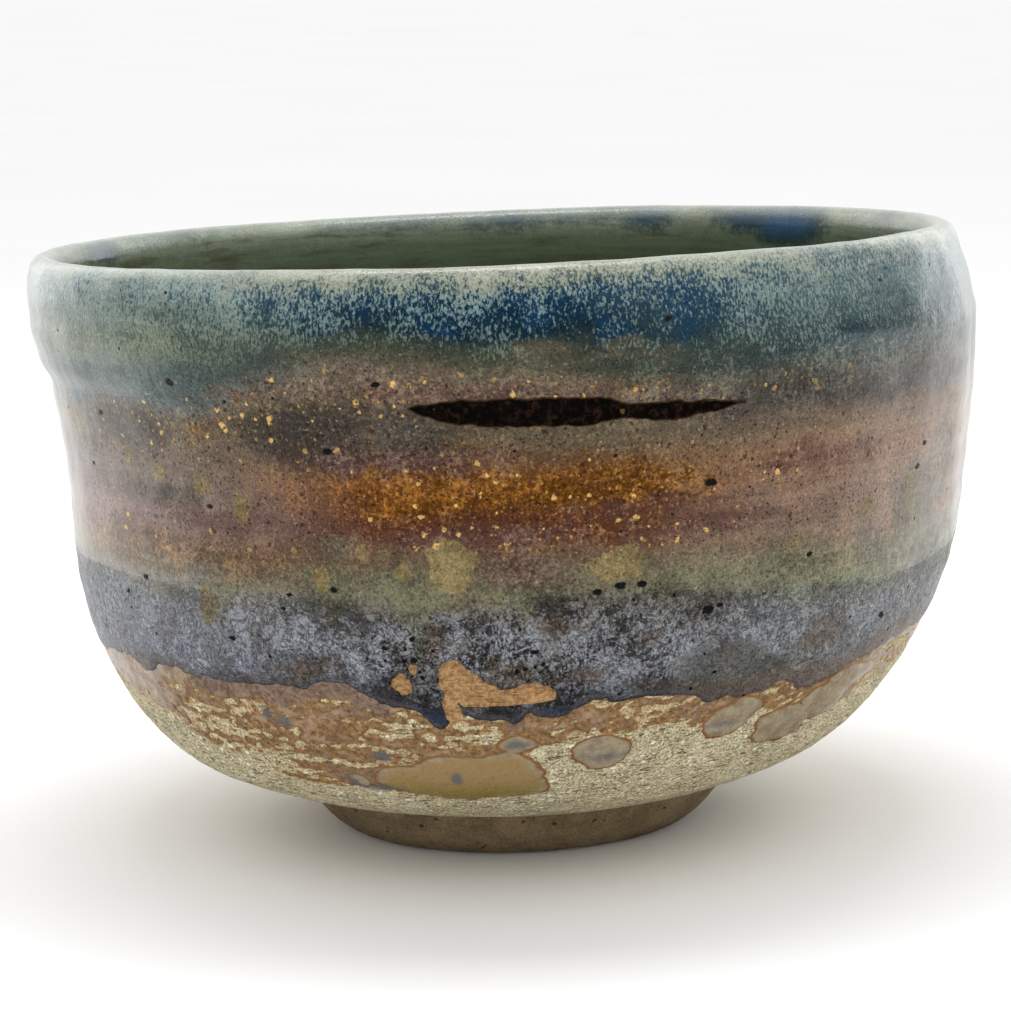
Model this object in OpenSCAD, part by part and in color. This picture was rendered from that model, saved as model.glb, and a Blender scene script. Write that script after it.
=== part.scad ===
// Matcha bowl, a thrown stoneware chawan on a turned foot ring, in millimetres.
// The bowl stands on z = 0 with its axis on Z. The front is -Y and the right is +X.
// Clay and every glaze coat share one set of rings, so they meet face to face.

/* [Body] */
// Width of the clay body at its widest
body_w = 118; // [100:1:135]
// Height of the middle of the rounded lip
lip_h = 73; // [68:1:80]
// Thickness of the clay at the lip
lip_t = 2.6; // [2:0.1:4]
// Height that the rounding adds to the lip
lip_rise = 2; // [1:0.1:3]
// Extra thickness of the wall where it turns into the floor
wall_gain = 2.4; // [0:0.1:4]
// Height at which the wall turns into the floor on the inside
well_h = 24; // [20:1:30]
// Thickness of the clay floor above the foot ring
floor_t = 4; // [3:0.1:6]
// How far the lip rises towards the front
front_rise = 1.6; // [0:0.1:3]
// How far the lip rises towards the right
right_rise = 0.4; // [0:0.1:3]

/* [Foot ring] */
// Height of the foot ring, up to the flat underside of the body
foot_h = 6.3; // [5:0.1:8]
// Outer radius where the foot ring meets the body
foot_top_r = 28.2; // [24:0.1:28.4]
// Outer radius where the foot ring stands on the table
foot_base_r = 21.9; // [20:0.1:24]
// Width of the flat ring that stands on the table
foot_ledge = 3.4; // [2:0.1:5]
// Radius of the hollow in the foot ring, at the body
hollow_r = 17.2; // [14:0.1:18]
// Radius of the small nub turned in the middle of the underside
nub_r = 6; // [4:0.5:10]
// Depth of the nub below the underside
nub_h = 0.6; // [0.2:0.1:1.5]

/* [Glaze] */
// Thickness of the glaze coats
glaze_t = 0.6; // [0.4:0.05:0.8]
// Thickness of the slate coat at its free lower edge
edge_t = 0.25; // [0.15:0.05:0.4]
// Mean height of the slate coat's lower edge
slate_h = 25.4; // [23:0.1:27]
// Mean height at which the amber coat begins
amber_h = 37.6; // [35:0.1:40]
// Mean height at which the rim coat begins on the outside
rim_h = 63; // [61:0.1:65]
// Mean height at which the rim coat ends on the inside
liner_h = 62; // [55:0.5:66]
// Gap left under the streak and the splashes
patch_gap = 0.08; // [0.05:0.01:0.15]

/* [Quality] */
// Facets round the bowl
stations = 60; // [36:4:72]

/* [Hidden] */

// The wall's outline for a body 118 wide: [height, radius on the left, radius on the right].
// The left side has a waist under its collar, the right side a rounder belly.
OUTLINE_W = 118;
OUTLINE_FOOT = 6.3;
OUTLINE_LIP = 73;
OUTLINE = [[6.3, 28.5, 28.5], [8, 35, 33.7], [11, 42.4, 40.4], [16, 47.6, 46.5],
           [24, 52.2, 52.3], [34, 54.6, 56], [46, 55.2, 58], [58, 56.8, 59.4],
           [66, 59.2, 59.3], [73, 59.5, 57.4]];

// How the borders of the coats wander: [angle from the front, height above the mean].
// Angles grow towards the right.
SLATE_WAVE = [[-180, 0.6], [-150, -0.9], [-115, 1], [-85, 0.2], [-60, 1.8], [-24, 1.4],
              [-4, -1.9], [18, -0.4], [40, -2.1], [60, 1.2], [95, 0], [130, 1.4], [180, 0.6]];
AMBER_WAVE = [[-180, 0.4], [-120, -1], [-65, 1.2], [-20, 0.4], [20, 0.6], [56, -1.8],
              [100, 0.6], [140, -0.6], [180, 0.4]];
RIM_WAVE = [[-180, -0.6], [-130, 1], [-65, -2], [-44, -1.8], [-16, 2.8], [4, 0.4],
            [22, -0.8], [45, 1], [90, 0.4], [130, -1], [180, -0.6]];
LINER_WAVE = [[-180, -2.5], [-150, 1.5], [-100, -1], [-40, 1], [20, -1.5], [80, 1.5],
              [120, -2], [160, 1], [180, -2.5]];

// Glaze that ran or splashed onto the bare clay below the slate coat, and the dark streak:
// [angle from the front, height, half of its angle, half of its height, thickness, on glaze].
SPLASHES = [[-6, 16, 10, 4.2, 0.45, false], [1.5, 21.2, 3.2, 1, 0.5, false],
            [11.5, 18.8, 4.4, 2.1, 0.5, false], [30, 20.5, 5, 2.1, 0.35, false],
            [44, 19.6, 6.4, 2.3, 0.35, false], [-34, 19.6, 13, 3.4, 0.3, false]];
STREAK = [7.8, 59.6, 18.2, 1.8, 0.45, true];

// Steps along the wall, from the foot to the middle of the floor
BARE_STEPS = 6;
SLATE_STEPS = 4;
AMBER_STEPS = 5;
RIM_STEPS = 3;
LIP_STEPS = 6;
RIM_IN_STEPS = 3;
LINER_STEPS = 5;
FLOOR_STEPS = 6;

// Number of the ring on which each coat begins
K_SLATE = BARE_STEPS;
K_AMBER = K_SLATE + SLATE_STEPS;
K_RIM = K_AMBER + AMBER_STEPS;
K_LINER = K_RIM + RIM_STEPS + LIP_STEPS + RIM_IN_STEPS;
K_LAST = K_LINER + LINER_STEPS + FLOOR_STEPS - 1;

floor_h = foot_h + floor_t;
lip_top = lip_h + lip_rise;

function mix(a, b, t) = a + (b - a) * t;
function unit(v) = v / norm(v);
function front(a) = let (f = a + 90) f > 180 ? f - 360 : f;

// ---- The clay's outline ----

function level(i) = mix(foot_h, lip_h, (OUTLINE[i][0] - OUTLINE_FOOT) / (OUTLINE_LIP - OUTLINE_FOOT));
function level_r(i, side) = OUTLINE[i][side] * body_w / OUTLINE_W;
function slope(i, side) =
    let (a = max(i - 1, 0), b = min(i + 1, len(OUTLINE) - 1))
    (level_r(b, side) - level_r(a, side)) / (level(b) - level(a));
function find_span(h, i = 0) =
    i == len(OUTLINE) - 2 || h < level(i + 1) ? i : find_span(h, i + 1);

// Radius of one side at height h, on a smooth curve through the outline's points
function side_r(h, side) =
    let (i = find_span(h), d = level(i + 1) - level(i), t = (h - level(i)) / d)
    (2 * t ^ 3 - 3 * t ^ 2 + 1) * level_r(i, side) + (3 * t ^ 2 - 2 * t ^ 3) * level_r(i + 1, side)
    + (t ^ 3 - 2 * t ^ 2 + t) * d * slope(i, side) + (t ^ 3 - t ^ 2) * d * slope(i + 1, side);

// The left and right sides blend into each other round the bowl
function wall_r(a, h) = mix(side_r(h, 1), side_r(h, 2), (1 + cos(a)) / 2);

// Thickness of the wall grows from the lip down to the well
function wall_t(h) = lip_t + wall_gain * (lip_h - h) / (lip_h - well_h);

// The bowl leans a little: nothing at the foot, all of it at the lip
function lift(a, h) = (h - foot_h) / (lip_top - foot_h) * (right_rise * cos(a) - front_rise * sin(a));

// ---- Borders of the coats ----

function find_wave(f, wave, i = 0) =
    i == len(wave) - 2 || f < wave[i + 1][0] ? i : find_wave(f, wave, i + 1);
function wander(a, wave) =
    let (f = front(a), i = find_wave(f, wave), t = (f - wave[i][0]) / (wave[i + 1][0] - wave[i][0]))
    mix(wave[i][1], wave[i + 1][1], (1 - cos(180 * t)) / 2);

// ---- One vertical section of the bowl, as [radius, height] pairs ----

function bare_curve(a, top) =
    [for (i = [0:BARE_STEPS - 1]) let (h = mix(foot_h, top, (i / BARE_STEPS) ^ 1.8)) [wall_r(a, h), h]];
function outer_run(a, h0, h1, steps) =
    [for (i = [0:steps - 1]) let (h = mix(h0, h1, i / steps)) [wall_r(a, h), h]];
function lip_curve(a) =
    [for (i = [0:LIP_STEPS - 1]) let (t = 180 * i / LIP_STEPS)
        [wall_r(a, lip_h) - lip_t / 2 * (1 - cos(t)), lip_h + lip_rise * sin(t)]];
function inner_run(a, h0, h1, steps) =
    [for (i = [0:steps - 1]) let (h = mix(h0, h1, i / steps)) [wall_r(a, h) - wall_t(h), h]];
function floor_curve(a) =
    [for (i = [0:FLOOR_STEPS - 1]) let (t = 90 * i / FLOOR_STEPS)
        [(wall_r(a, well_h) - wall_t(well_h)) * cos(t), mix(well_h, floor_h, sin(t))]];

function section(a) =
    let (slate = slate_h + wander(a, SLATE_WAVE), amber = amber_h + wander(a, AMBER_WAVE),
         rim = rim_h + wander(a, RIM_WAVE), liner = liner_h + wander(a, LINER_WAVE))
    concat(bare_curve(a, slate), outer_run(a, slate, amber, SLATE_STEPS),
           outer_run(a, amber, rim, AMBER_STEPS), outer_run(a, rim, lip_h, RIM_STEPS),
           lip_curve(a), inner_run(a, lip_h, liner, RIM_IN_STEPS),
           inner_run(a, liner, well_h, LINER_STEPS), floor_curve(a), [[0, floor_h]]);

SECTIONS = [for (j = [0:stations - 1]) section(360 * j / stations)];

// ---- Points and faces ----

function place(a, p) = [p[0] * cos(a), p[0] * sin(a), p[1] + lift(a, p[1])];

// Outward direction of the surface at ring k of section s
function outward(s, k) = let (d = s[k + 1] - s[k - 1]) unit([d[1], -d[0]]);

function ring(k) = [for (j = [0:stations - 1]) place(360 * j / stations, SECTIONS[j][k])];
function raised_ring(k, t) =
    [for (j = [0:stations - 1]) let (s = SECTIONS[j]) place(360 * j / stations, s[k] + t * outward(s, k))];
function flat_ring(r, z) =
    [for (j = [0:stations - 1]) let (a = 360 * j / stations) [r * cos(a), r * sin(a), z]];

// Faces between two rings that start at points a and b. Reversed faces look the other way.
function band(a, b, reversed = false) =
    [for (j = [0:stations - 1]) let (i = (j + 1) % stations)
        each reversed ? [[a + j, a + i, b + i], [a + j, b + i, b + j]]
                      : [[a + j, b + i, a + i], [a + j, b + j, b + i]]];
function bands(first, count, reversed = false) =
    [for (k = [0:count - 2]) each band(first + k * stations, first + (k + 1) * stations, reversed)];
function fan(first, tip, reversed = false) =
    [for (j = [0:stations - 1]) let (i = (j + 1) % stations)
        reversed ? [first + j, first + i, tip] : [first + j, tip, first + i]];

function coat_t(k) = k == K_SLATE ? edge_t : glaze_t;

// A glaze coat from ring k0 to ring k1
module coat(k0, k1) {
    count = k1 - k0 + 1;
    inner = count * stations;
    last = (count - 1) * stations;
    polyhedron(
        points = concat([for (k = [k0:k1]) each raised_ring(k, coat_t(k))],
                        [for (k = [k0:k1]) each ring(k)]),
        faces = concat(bands(0, count), bands(inner, count, true),
                       band(inner, 0), band(last, inner + last)));
}

// ---- Sub-parts ----

// The thrown wall and floor, flat underneath where the foot ring is luted on
module clay_body() {
    count = K_LAST + 1;
    under = count * stations;
    centre = under + 2 * stations;
    color("#c8b795")
    polyhedron(
        points = concat([for (k = [0:K_LAST]) each ring(k)],
                        flat_ring(hollow_r, foot_h), flat_ring(nub_r, foot_h),
                        [[0, 0, floor_h], [0, 0, foot_h - nub_h]]),
        faces = concat(bands(0, count), fan(K_LAST * stations, centre),
                       band(0, under, true), band(under, under + stations, true),
                       fan(under + stations, centre + 1, true)));
}

// The turned foot ring, flared outwards up to the body
module foot_ring() {
    flare = foot_top_r - foot_base_r;
    chamfer = 0.4;
    color("#6b5940")
    rotate_extrude($fn = 120)
    polygon(concat(
        [[foot_base_r - foot_ledge, 0], [foot_base_r - chamfer, 0], [foot_base_r, chamfer]],
        [for (q = [0.12, 0.3, 0.6, 1]) [foot_base_r + flare * q ^ 0.6, foot_h * q]],
        [[hollow_r, foot_h], [foot_base_r - foot_ledge - chamfer, chamfer]]));
}

// Olive-green glaze over the inside of the bowl
module liner_glaze() {
    count = K_LAST - K_LINER + 1;
    inner = count * stations;
    centre = 2 * inner;
    last = (count - 1) * stations;
    color("#5c6c4e")
    polyhedron(
        points = concat([for (k = [K_LINER:K_LAST]) each raised_ring(k, glaze_t)],
                        [for (k = [K_LINER:K_LAST]) each ring(k)],
                        [[0, 0, floor_h + glaze_t], [0, 0, floor_h]]),
        faces = concat(bands(0, count), bands(inner, count, true), band(inner, 0),
                       fan(last, centre), fan(inner + last, centre + 1, true)));
}

// Blue-green glaze over the collar, the lip and the top of the inside
module rim_glaze() {
    color("#2f4d59")
    coat(K_RIM, K_LINER);
}

// Iron-amber glaze round the waist
module amber_glaze() {
    color("#94642f")
    coat(K_AMBER, K_RIM);
}

// Blue-grey glaze round the belly, with a free lower edge
module slate_glaze() {
    color("#6c6f70")
    coat(K_SLATE, K_AMBER);
}

// Point of a patch, u and v from -1 to 1, at a distance from the clay's surface
function patch_point(p, u, v, d) =
    let (a = p[0] - 90 + p[2] * u, h = p[1] + p[3] * v * sqrt(1 - u ^ 2),
         n = unit([1, wall_r(a, h - 0.5) - wall_r(a, h + 0.5)]))
    place(a, [wall_r(a, h) + d * n[0], h + d * n[1]]);

// A thin pool of glaze: flat beneath, domed on top, drawn out to a point at both ends
module patch(p) {
    base = patch_gap + (p[5] ? glaze_t : 0);
    steps = 2 * ceil(p[2] / 3) + 2;
    across = [[-1, 0], [-0.5, 0], [0, 0], [0.5, 0], [1, 0], [0.5, 0.8], [0, 1], [-0.5, 0.8]];
    sides = len(across);
    body = [for (i = [1:steps - 1]) let (u = -cos(180 * i / steps))
        each [for (c = across) patch_point(p, u, c[0], base + c[1] * p[4] * sqrt(1 - u ^ 2))]];
    tip = len(body);
    polyhedron(
        points = concat(body, [patch_point(p, -1, 0, base), patch_point(p, 1, 0, base)]),
        faces = concat(
            [for (i = [0:steps - 3]) for (c = [0:sides - 1])
                let (a = i * sides + c, b = i * sides + (c + 1) % sides)
                each [[a, b, b + sides], [a, b + sides, a + sides]]],
            [for (c = [0:sides - 1]) [tip, (c + 1) % sides, c]],
            [for (c = [0:sides - 1]) [tip + 1, tip - sides + c, tip - sides + (c + 1) % sides]]));
}

// Glossy iron-black streak on the amber coat, under the collar
module iron_streak() {
    color("#1c1411")
    patch(STREAK);
}

// Pools and drops of glaze that ran below the slate coat
module glaze_splashes() {
    color("#7d6845")
    for (p = SPLASHES) patch(p);
}

clay_body();
foot_ring();
liner_glaze();
rim_glaze();
amber_glaze();
slate_glaze();
iron_streak();
glaze_splashes();
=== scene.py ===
"""The looks of the matcha bowl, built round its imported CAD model.

The wall is drawn in millimetres, with the same outline as the CAD source, and scaled to the
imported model. A place on the wall is (turn, h): turn is in degrees from the front and grows
towards the right, and h is the height before the bowl's slight lean.
"""

import math

import bpy
import numpy as np
from mathutils import Matrix, Vector


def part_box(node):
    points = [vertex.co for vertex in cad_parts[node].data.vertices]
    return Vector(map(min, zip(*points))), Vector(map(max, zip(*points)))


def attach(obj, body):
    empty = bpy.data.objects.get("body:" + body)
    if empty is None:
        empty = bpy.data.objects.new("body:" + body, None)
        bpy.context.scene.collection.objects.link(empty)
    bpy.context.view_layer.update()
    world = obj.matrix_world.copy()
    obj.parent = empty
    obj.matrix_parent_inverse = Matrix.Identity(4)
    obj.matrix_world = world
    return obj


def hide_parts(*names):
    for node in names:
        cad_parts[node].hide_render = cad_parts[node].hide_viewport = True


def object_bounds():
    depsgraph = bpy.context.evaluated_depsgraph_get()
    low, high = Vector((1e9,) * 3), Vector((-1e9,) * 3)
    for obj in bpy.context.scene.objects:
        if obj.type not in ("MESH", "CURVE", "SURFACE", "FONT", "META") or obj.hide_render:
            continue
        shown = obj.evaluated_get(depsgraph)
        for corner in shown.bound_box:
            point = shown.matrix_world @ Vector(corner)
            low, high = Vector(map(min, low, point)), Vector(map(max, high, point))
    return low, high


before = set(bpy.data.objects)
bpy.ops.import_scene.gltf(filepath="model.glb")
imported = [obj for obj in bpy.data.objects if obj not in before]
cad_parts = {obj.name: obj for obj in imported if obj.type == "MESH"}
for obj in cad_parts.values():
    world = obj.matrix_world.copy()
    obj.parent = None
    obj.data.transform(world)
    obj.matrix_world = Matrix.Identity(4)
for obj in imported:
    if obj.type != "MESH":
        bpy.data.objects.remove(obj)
cad_low, cad_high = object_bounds()

# ---- The wall, as in the CAD source, in millimetres ----

LEVELS = np.array([6.3, 8, 11, 16, 24, 34, 46, 58, 66, 73])
LEFT = np.array([28.5, 35, 42.4, 47.6, 52.2, 54.6, 55.2, 56.8, 59.2, 59.5])
RIGHT = np.array([28.5, 33.7, 40.4, 46.5, 52.3, 56, 58, 59.4, 59.3, 57.4])
FOOT_H, LIP_H = LEVELS[0], LEVELS[-1]
LIP_T, LIP_RISE = 2.6, 2.0
WALL_GAIN, WELL_H, FLOOR_T = 2.4, 24.0, 4.0
FRONT_RISE, RIGHT_RISE = 1.6, 0.4
GLAZE_T = 0.6
FOOT_TOP_R, FOOT_BASE_R, FOOT_LEDGE, HOLLOW_R = 28.2, 21.9, 3.4, 17.2
NUB_R, NUB_H = 6.0, 0.6

# Borders of the coats: mean height, then [turn, height above the mean]
SLATE_H, AMBER_H, RIM_H, LINER_H = 25.4, 37.6, 63.0, 62.0
SLATE_WAVE = [
    (-180, 0.6), (-150, -0.9), (-115, 1), (-85, 0.2), (-60, 1.8), (-24, 1.4), (-4, -1.9), (18, -0.4),
    (40, -2.1), (60, 1.2), (95, 0), (130, 1.4), (180, 0.6),
]
AMBER_WAVE = [
    (-180, 0.4), (-120, -1), (-65, 1.2), (-20, 0.4), (20, 0.6), (56, -1.8), (100, 0.6), (140, -0.6),
    (180, 0.4),
]
RIM_WAVE = [
    (-180, -0.6), (-130, 1), (-65, -2), (-44, -1.8), (-16, 2.8), (4, 0.4), (22, -0.8), (45, 1),
    (90, 0.4), (130, -1), (180, -0.6),
]
LINER_WAVE = [
    (-180, -2.5), (-150, 1.5), (-100, -1), (-40, 1), (20, -1.5), (80, 1.5), (120, -2), (160, 1),
    (180, -2.5),
]

LIP_TOP = LIP_H + LIP_RISE
FLOOR_H = FOOT_H + FLOOR_T


def smooth_curve(h, values):
    """A cubic curve through the outline's points."""
    slopes = np.empty(len(LEVELS))
    slopes[1:-1] = (values[2:] - values[:-2]) / (LEVELS[2:] - LEVELS[:-2])
    slopes[0] = (values[1] - values[0]) / (LEVELS[1] - LEVELS[0])
    slopes[-1] = (values[-1] - values[-2]) / (LEVELS[-1] - LEVELS[-2])
    i = np.clip(np.searchsorted(LEVELS, h, side="right") - 1, 0, len(LEVELS) - 2)
    d = LEVELS[i + 1] - LEVELS[i]
    t = (h - LEVELS[i]) / d
    return (
        (2 * t**3 - 3 * t**2 + 1) * values[i]
        + (3 * t**2 - 2 * t**3) * values[i + 1]
        + (t**3 - 2 * t**2 + t) * d * slopes[i]
        + (t**3 - t**2) * d * slopes[i + 1]
    )


def wall_radius(turn, h):
    right = (1 + np.sin(np.radians(turn))) / 2
    return smooth_curve(h, LEFT) * (1 - right) + smooth_curve(h, RIGHT) * right


def wall_thickness(h):
    return LIP_T + WALL_GAIN * (LIP_H - h) / (LIP_H - WELL_H)


def place(turn, radius, h):
    """Points at a turn, radius and height, with the bowl's lean."""
    t = np.radians(turn)
    share = (h - FOOT_H) / (LIP_TOP - FOOT_H)
    z = h + share * (RIGHT_RISE * np.sin(t) + FRONT_RISE * np.cos(t))
    x, y, z = np.broadcast_arrays(radius * np.sin(t), -radius * np.cos(t), z)
    return np.stack([x, y, z], -1)


def outside(turn, h):
    return place(turn, wall_radius(turn, h), h)


def unit(v):
    return v / np.maximum(np.linalg.norm(v, axis=-1, keepdims=True), 1e-9)


def outward(turn, h):
    """Which way the outside of the wall faces."""
    step = 0.2
    return unit(np.cross(outside(turn + step, h) - outside(turn - step, h),
                         outside(turn, h + step) - outside(turn, h - step)))


def wander(turn, wave):
    """How far a border stands above its mean height."""
    turns, heights = (np.array(x, float) for x in zip(*wave))
    i = np.clip(np.searchsorted(turns, turn, side="right") - 1, 0, len(turns) - 2)
    t = (turn - turns[i]) / (turns[i + 1] - turns[i])
    return heights[i] + (heights[i + 1] - heights[i]) * (1 - np.cos(np.pi * t)) / 2


all_heights = np.linspace(FOOT_H, LIP_H, 400)
clay_width = smooth_curve(all_heights, LEFT).max() + smooth_curve(all_heights, RIGHT).max()
clay_low, clay_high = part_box("clay_body")
MM = (clay_high.x - clay_low.x) / clay_width

# ---- Noise ----

LATTICE = 256
table_rng = np.random.default_rng(11)
SHUFFLE = table_rng.permutation(LATTICE)
GRADIENTS = unit(table_rng.normal(size=(LATTICE, 3)))


def lattice_noise(p):
    cell = np.floor(p).astype(np.int64)
    f = p - cell
    w = f * f * f * (f * (f * 6 - 15) + 10)
    total = np.zeros(p.shape[:-1])
    for corner in np.ndindex(2, 2, 2):
        key = cell[..., 0] + corner[0]
        for axis in (1, 2):
            key = SHUFFLE[key % LATTICE] + cell[..., axis] + corner[axis]
        weight = np.prod([w[..., k] if corner[k] else 1 - w[..., k] for k in range(3)], axis=0)
        total += weight * ((f - corner) * GRADIENTS[SHUFFLE[key % LATTICE]]).sum(-1)
    return total


def noise(points, size, seed=0, octaves=1):
    """Smooth noise, about -1 to 1, with features of the given size in millimetres."""
    p = points / np.asarray(size, float) + seed * 19.37
    total, weight, weights = 0, 1.0, 0.0
    for _ in range(octaves):
        total = total + weight * lattice_noise(p)
        weights += weight
        weight *= 0.5
        p = p * 2.03 + 7.7
    return 1.7 * total / weights


def step(x, low, high):
    """0 below low, 1 above high, and smooth between."""
    t = np.clip((x - low) / (high - low), 0, 1)
    return t * t * (3 - 2 * t)


def hump(x, middle, width):
    return np.exp(-(((x - middle) / width) ** 2))


def apart(turn, other):
    """Degrees from one turn to another, the short way round."""
    return (turn - other + 180) % 360 - 180


# ---- Where things are on the wall: turns in degrees, heights and widths in millimetres ----
# A patch is (turn, height, half turn, half height)

# A degree is about a millimetre on the wall. This is the most that a place counts as outside a mark
FAR = 9.0


def blob(turn, h, where):
    """How far inside a patch a place is, in millimetres."""
    t, middle, half_t, half_h = where
    out = np.sqrt((apart(turn, t) / half_t) ** 2 + ((h - middle) / half_h) ** 2)
    return (1 - out) * min(half_t, half_h)


def blobs(turn, h, places, ragged=0):
    found = np.full(np.broadcast(turn, h).shape, -FAR)
    for where in places:
        found = np.maximum(found, blob(turn, h, where))
    return found + ragged


def funnel(turn, h, where):
    """How far inside a run of glaze a place is: wide at the top, narrow at the bottom."""
    t, low, high, half_low, half_high = where
    u = np.clip((h - low) / (high - low), 0, 1.3)
    half = half_low + (half_high - half_low) * u**2.4
    across = half - np.abs(apart(turn, t))
    return np.minimum(across, np.minimum(h - low, (high - h) * 1.2))


# Bare clay showing through the slate coat
ISLANDS = [
    (-7.5, 29.2, 1.8, 1.7), (-6.5, 28.0, 2.7, 2.0), (-4.4, 26.9, 2.8, 1.5), (-1.8, 26.4, 2.6, 1.0),
    (0.4, 26.6, 2.4, 1.0), (2.6, 26.8, 2.2, 1.2), (-7.9, 25.4, 0.9, 1.4), (-13.8, 28.2, 1.1, 1.2),
    (-12.2, 29.8, 0.6, 0.7),
]
# Drips on the slate coat's lower edge: turn, drop and width
EDGE_DRIPS = [
    (-9.9, 1.6, 1.5), (-6.0, -0.7, 1.6), (-0.2, 0.8, 0.8), (2.0, -0.5, 1.0), (5.6, 0.6, 2.2),
    (-24, -1.0, 4), (10, -0.9, 2.4), (25.5, 1.2, 1.6), (-58, 1.5, 3), (37, -1.0, 2.5), (112, 2, 2),
    (-140, 2.2, 2.4), (163, 1.5, 2),
]

# Thin glaze on the bare clay
POOLS = [
    (-6.5, 15.6, 10.5, 3.3), (-14, 15.2, 7, 2.3), (0.2, 14.6, 4.6, 1.8), (-1.5, 17.6, 4.5, 1.6),
]
RUNS = [
    (11.6, 19.0, 4.3, 1.9), (12.3, 18.2, 3.6, 1.9), (29.6, 20.7, 3.5, 2.4), (32, 22.3, 3.2, 1.4),
    (41.0, 18.8, 5.6, 2.6), (47.5, 20.8, 5.8, 2.4), (52, 23.4, 6, 1.6), (0.2, 20.4, 3.0, 1.0),
    (-23.5, 14.9, 1.6, 1.0), (96, 19, 7, 3), (128, 17.5, 4, 2.4), (171, 19, 9, 2.6), (-122, 18.5, 6, 3),
    (-152, 20, 5, 2),
]
# The lower edge of the brown wash: turn and height
WASH_LOW = [
    (-180, 24), (-150, 22.5), (-110, 20), (-75, 23.2), (-60, 21.4), (-46, 17.6), (-34, 14.4),
    (-24, 13.4), (-14, 13), (-3, 14), (4, 20.2), (12, 21.4), (24, 21.6), (34, 21.5), (50, 19.5),
    (62, 22.5), (90, 24.2), (130, 22.5), (180, 24),
]
BLUE_SPOTS = [
    (0.2, 20.5, 1.3, 0.6), (12.9, 18.2, 2.8, 0.4), (-21, 13.9, 3.4, 0.55), (-31.5, 22.7, 1.3, 0.8),
    (-34, 23.4, 0.9, 0.7), (-24.5, 14.8, 1.1, 0.8), (-18.7, 18.6, 1.3, 0.7), (-8.6, 15.9, 0.9, 0.8),
    (29.6, 20.6, 2.2, 0.3), (98, 19, 2.5, 0.7), (-124, 18, 2, 0.7),
]

# Marks in the glaze on the wall
OCHRE = [
    (-6.9, 42.7, 2.9, 2.7), (-6.4, 41.6, 2.2, 2.6), (12.2, 41.9, 3.6, 1.9), (13.2, 43.0, 2.0, 1.5),
    (-17.5, 44.0, 1.0, 1.1), (-14.6, 43.7, 0.8, 1.0), (-12.2, 41.3, 1.0, 1.3), (-22.5, 41.0, 1.0, 1.2),
    (-46, 51.8, 1.6, 1.3), (-38, 50.8, 1.7, 1.4), (-33, 48.6, 1.0, 1.5), (-52, 53, 1.1, 1.0),
    (47, 44.6, 1.5, 1.5), (56, 45.4, 1.8, 2.0), (52, 48.5, 0.9, 1.1), (35, 41.6, 1.2, 0.9),
    (-39.5, 36.6, 1.6, 2.2), (85, 44, 3, 2), (118, 41.5, 4, 2), (-95, 46, 3, 2.4), (-140, 42, 4, 2),
]
# Smoky grey patches in the glaze. The third, under the left end of the iron-black streak, is painted
# shade below the streak
SMOKE_AND_SHADE = [
    (-22, 57.2, 10, 4.0), (-19, 54.9, 6, 2.2), (-12, 56.9, 7.5, 3.2), (46, 59.4, 10, 1.4),
    (58, 60.2, 9, 2.6), (34, 60.6, 7, 1.3), (-52, 56.5, 9, 1.8), (-45, 49.6, 8, 1.2),
    (110, 58.5, 18, 2.4), (-120, 57, 16, 2.6), (170, 59, 14, 2),
]
GOLD = [
    (3, 50.4, 15, 1.7), (16, 50.8, 11, 2.0), (-7, 49.4, 7, 1.3), (4, 45.1, 6, 0.9), (-30, 62.4, 5, 1.5),
    (-25, 60.3, 3.6, 1.0), (-12.5, 62.2, 2.2, 0.7), (13, 61.9, 5, 0.6), (-48, 59.3, 9, 0.8),
    (-37, 57.2, 6, 1.2), (-51, 43.6, 6, 0.8), (17.6, 44.6, 1.2, 0.7), (24.8, 44.2, 0.8, 0.7),
    (100, 50, 16, 1.6), (-160, 50, 18, 1.7), (150, 45, 8, 1.0),
]
OLIVE = [
    (34, 38.6, 13, 1.9), (22, 38.9, 6, 1.4), (58, 43, 6, 6.5), (64, 48, 4, 5.5), (11, 65.4, 7.5, 0.9),
    (6, 66.5, 9, 1.0), (-20.5, 44.6, 4, 1.8), (-44, 37.6, 6, 1.2), (-15, 40.0, 5, 1.2),
    (130, 39, 16, 1.8), (-110, 39, 14, 1.8),
]
# Runs of glaze: turn, bottom, top, and half widths at the bottom and at the top
FUNNELS = [
    (-11.0, 30.6, 41.5, 0.55, 6.8), (-21.3, 35.2, 41.5, 0.9, 4.6), (-37.6, 33.0, 39.5, 0.5, 5.0),
    (1.5, 34.6, 39.5, 0.5, 3.6), (18, 34.8, 39.4, 0.4, 3.2), (75, 33, 40, 0.8, 6), (140, 32, 40, 0.7, 7),
    (-95, 32.5, 40, 0.8, 6), (-150, 33, 40, 0.6, 5),
]
# Patches in the slate coat and inside
CHARRED = [
    (-13.2, 31.4, 2.6, 3.4), (-10.0, 29.8, 3.4, 2.2), (2.6, 30.4, 3.2, 1.4), (10.5, 38.2, 4.4, 0.8),
    (22, 35.6, 2.6, 0.7), (120, 33, 5, 3), (-130, 31, 5, 2),
]
BLUE_DRIPS = [(-9.9, 24.2, 2.7, 1.1), (5.4, 24.9, 3.2, 0.5), (112, 24, 3, 0.9), (-140, 23, 3, 1.0)]
BROWN_FANS = [
    (-0.6, 28.9, 3.0, 2.4), (-8.9, 33.4, 1.5, 1.5), (7.2, 28.6, 3.0, 1.0), (6, 34.8, 2.8, 1.0),
    (-27, 30, 4, 1.6), (42, 31, 5, 2.2), (16, 33.6, 3, 1.2), (100, 31, 6, 2), (160, 34, 6, 2),
    (-100, 33, 6, 2.4),
]
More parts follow.
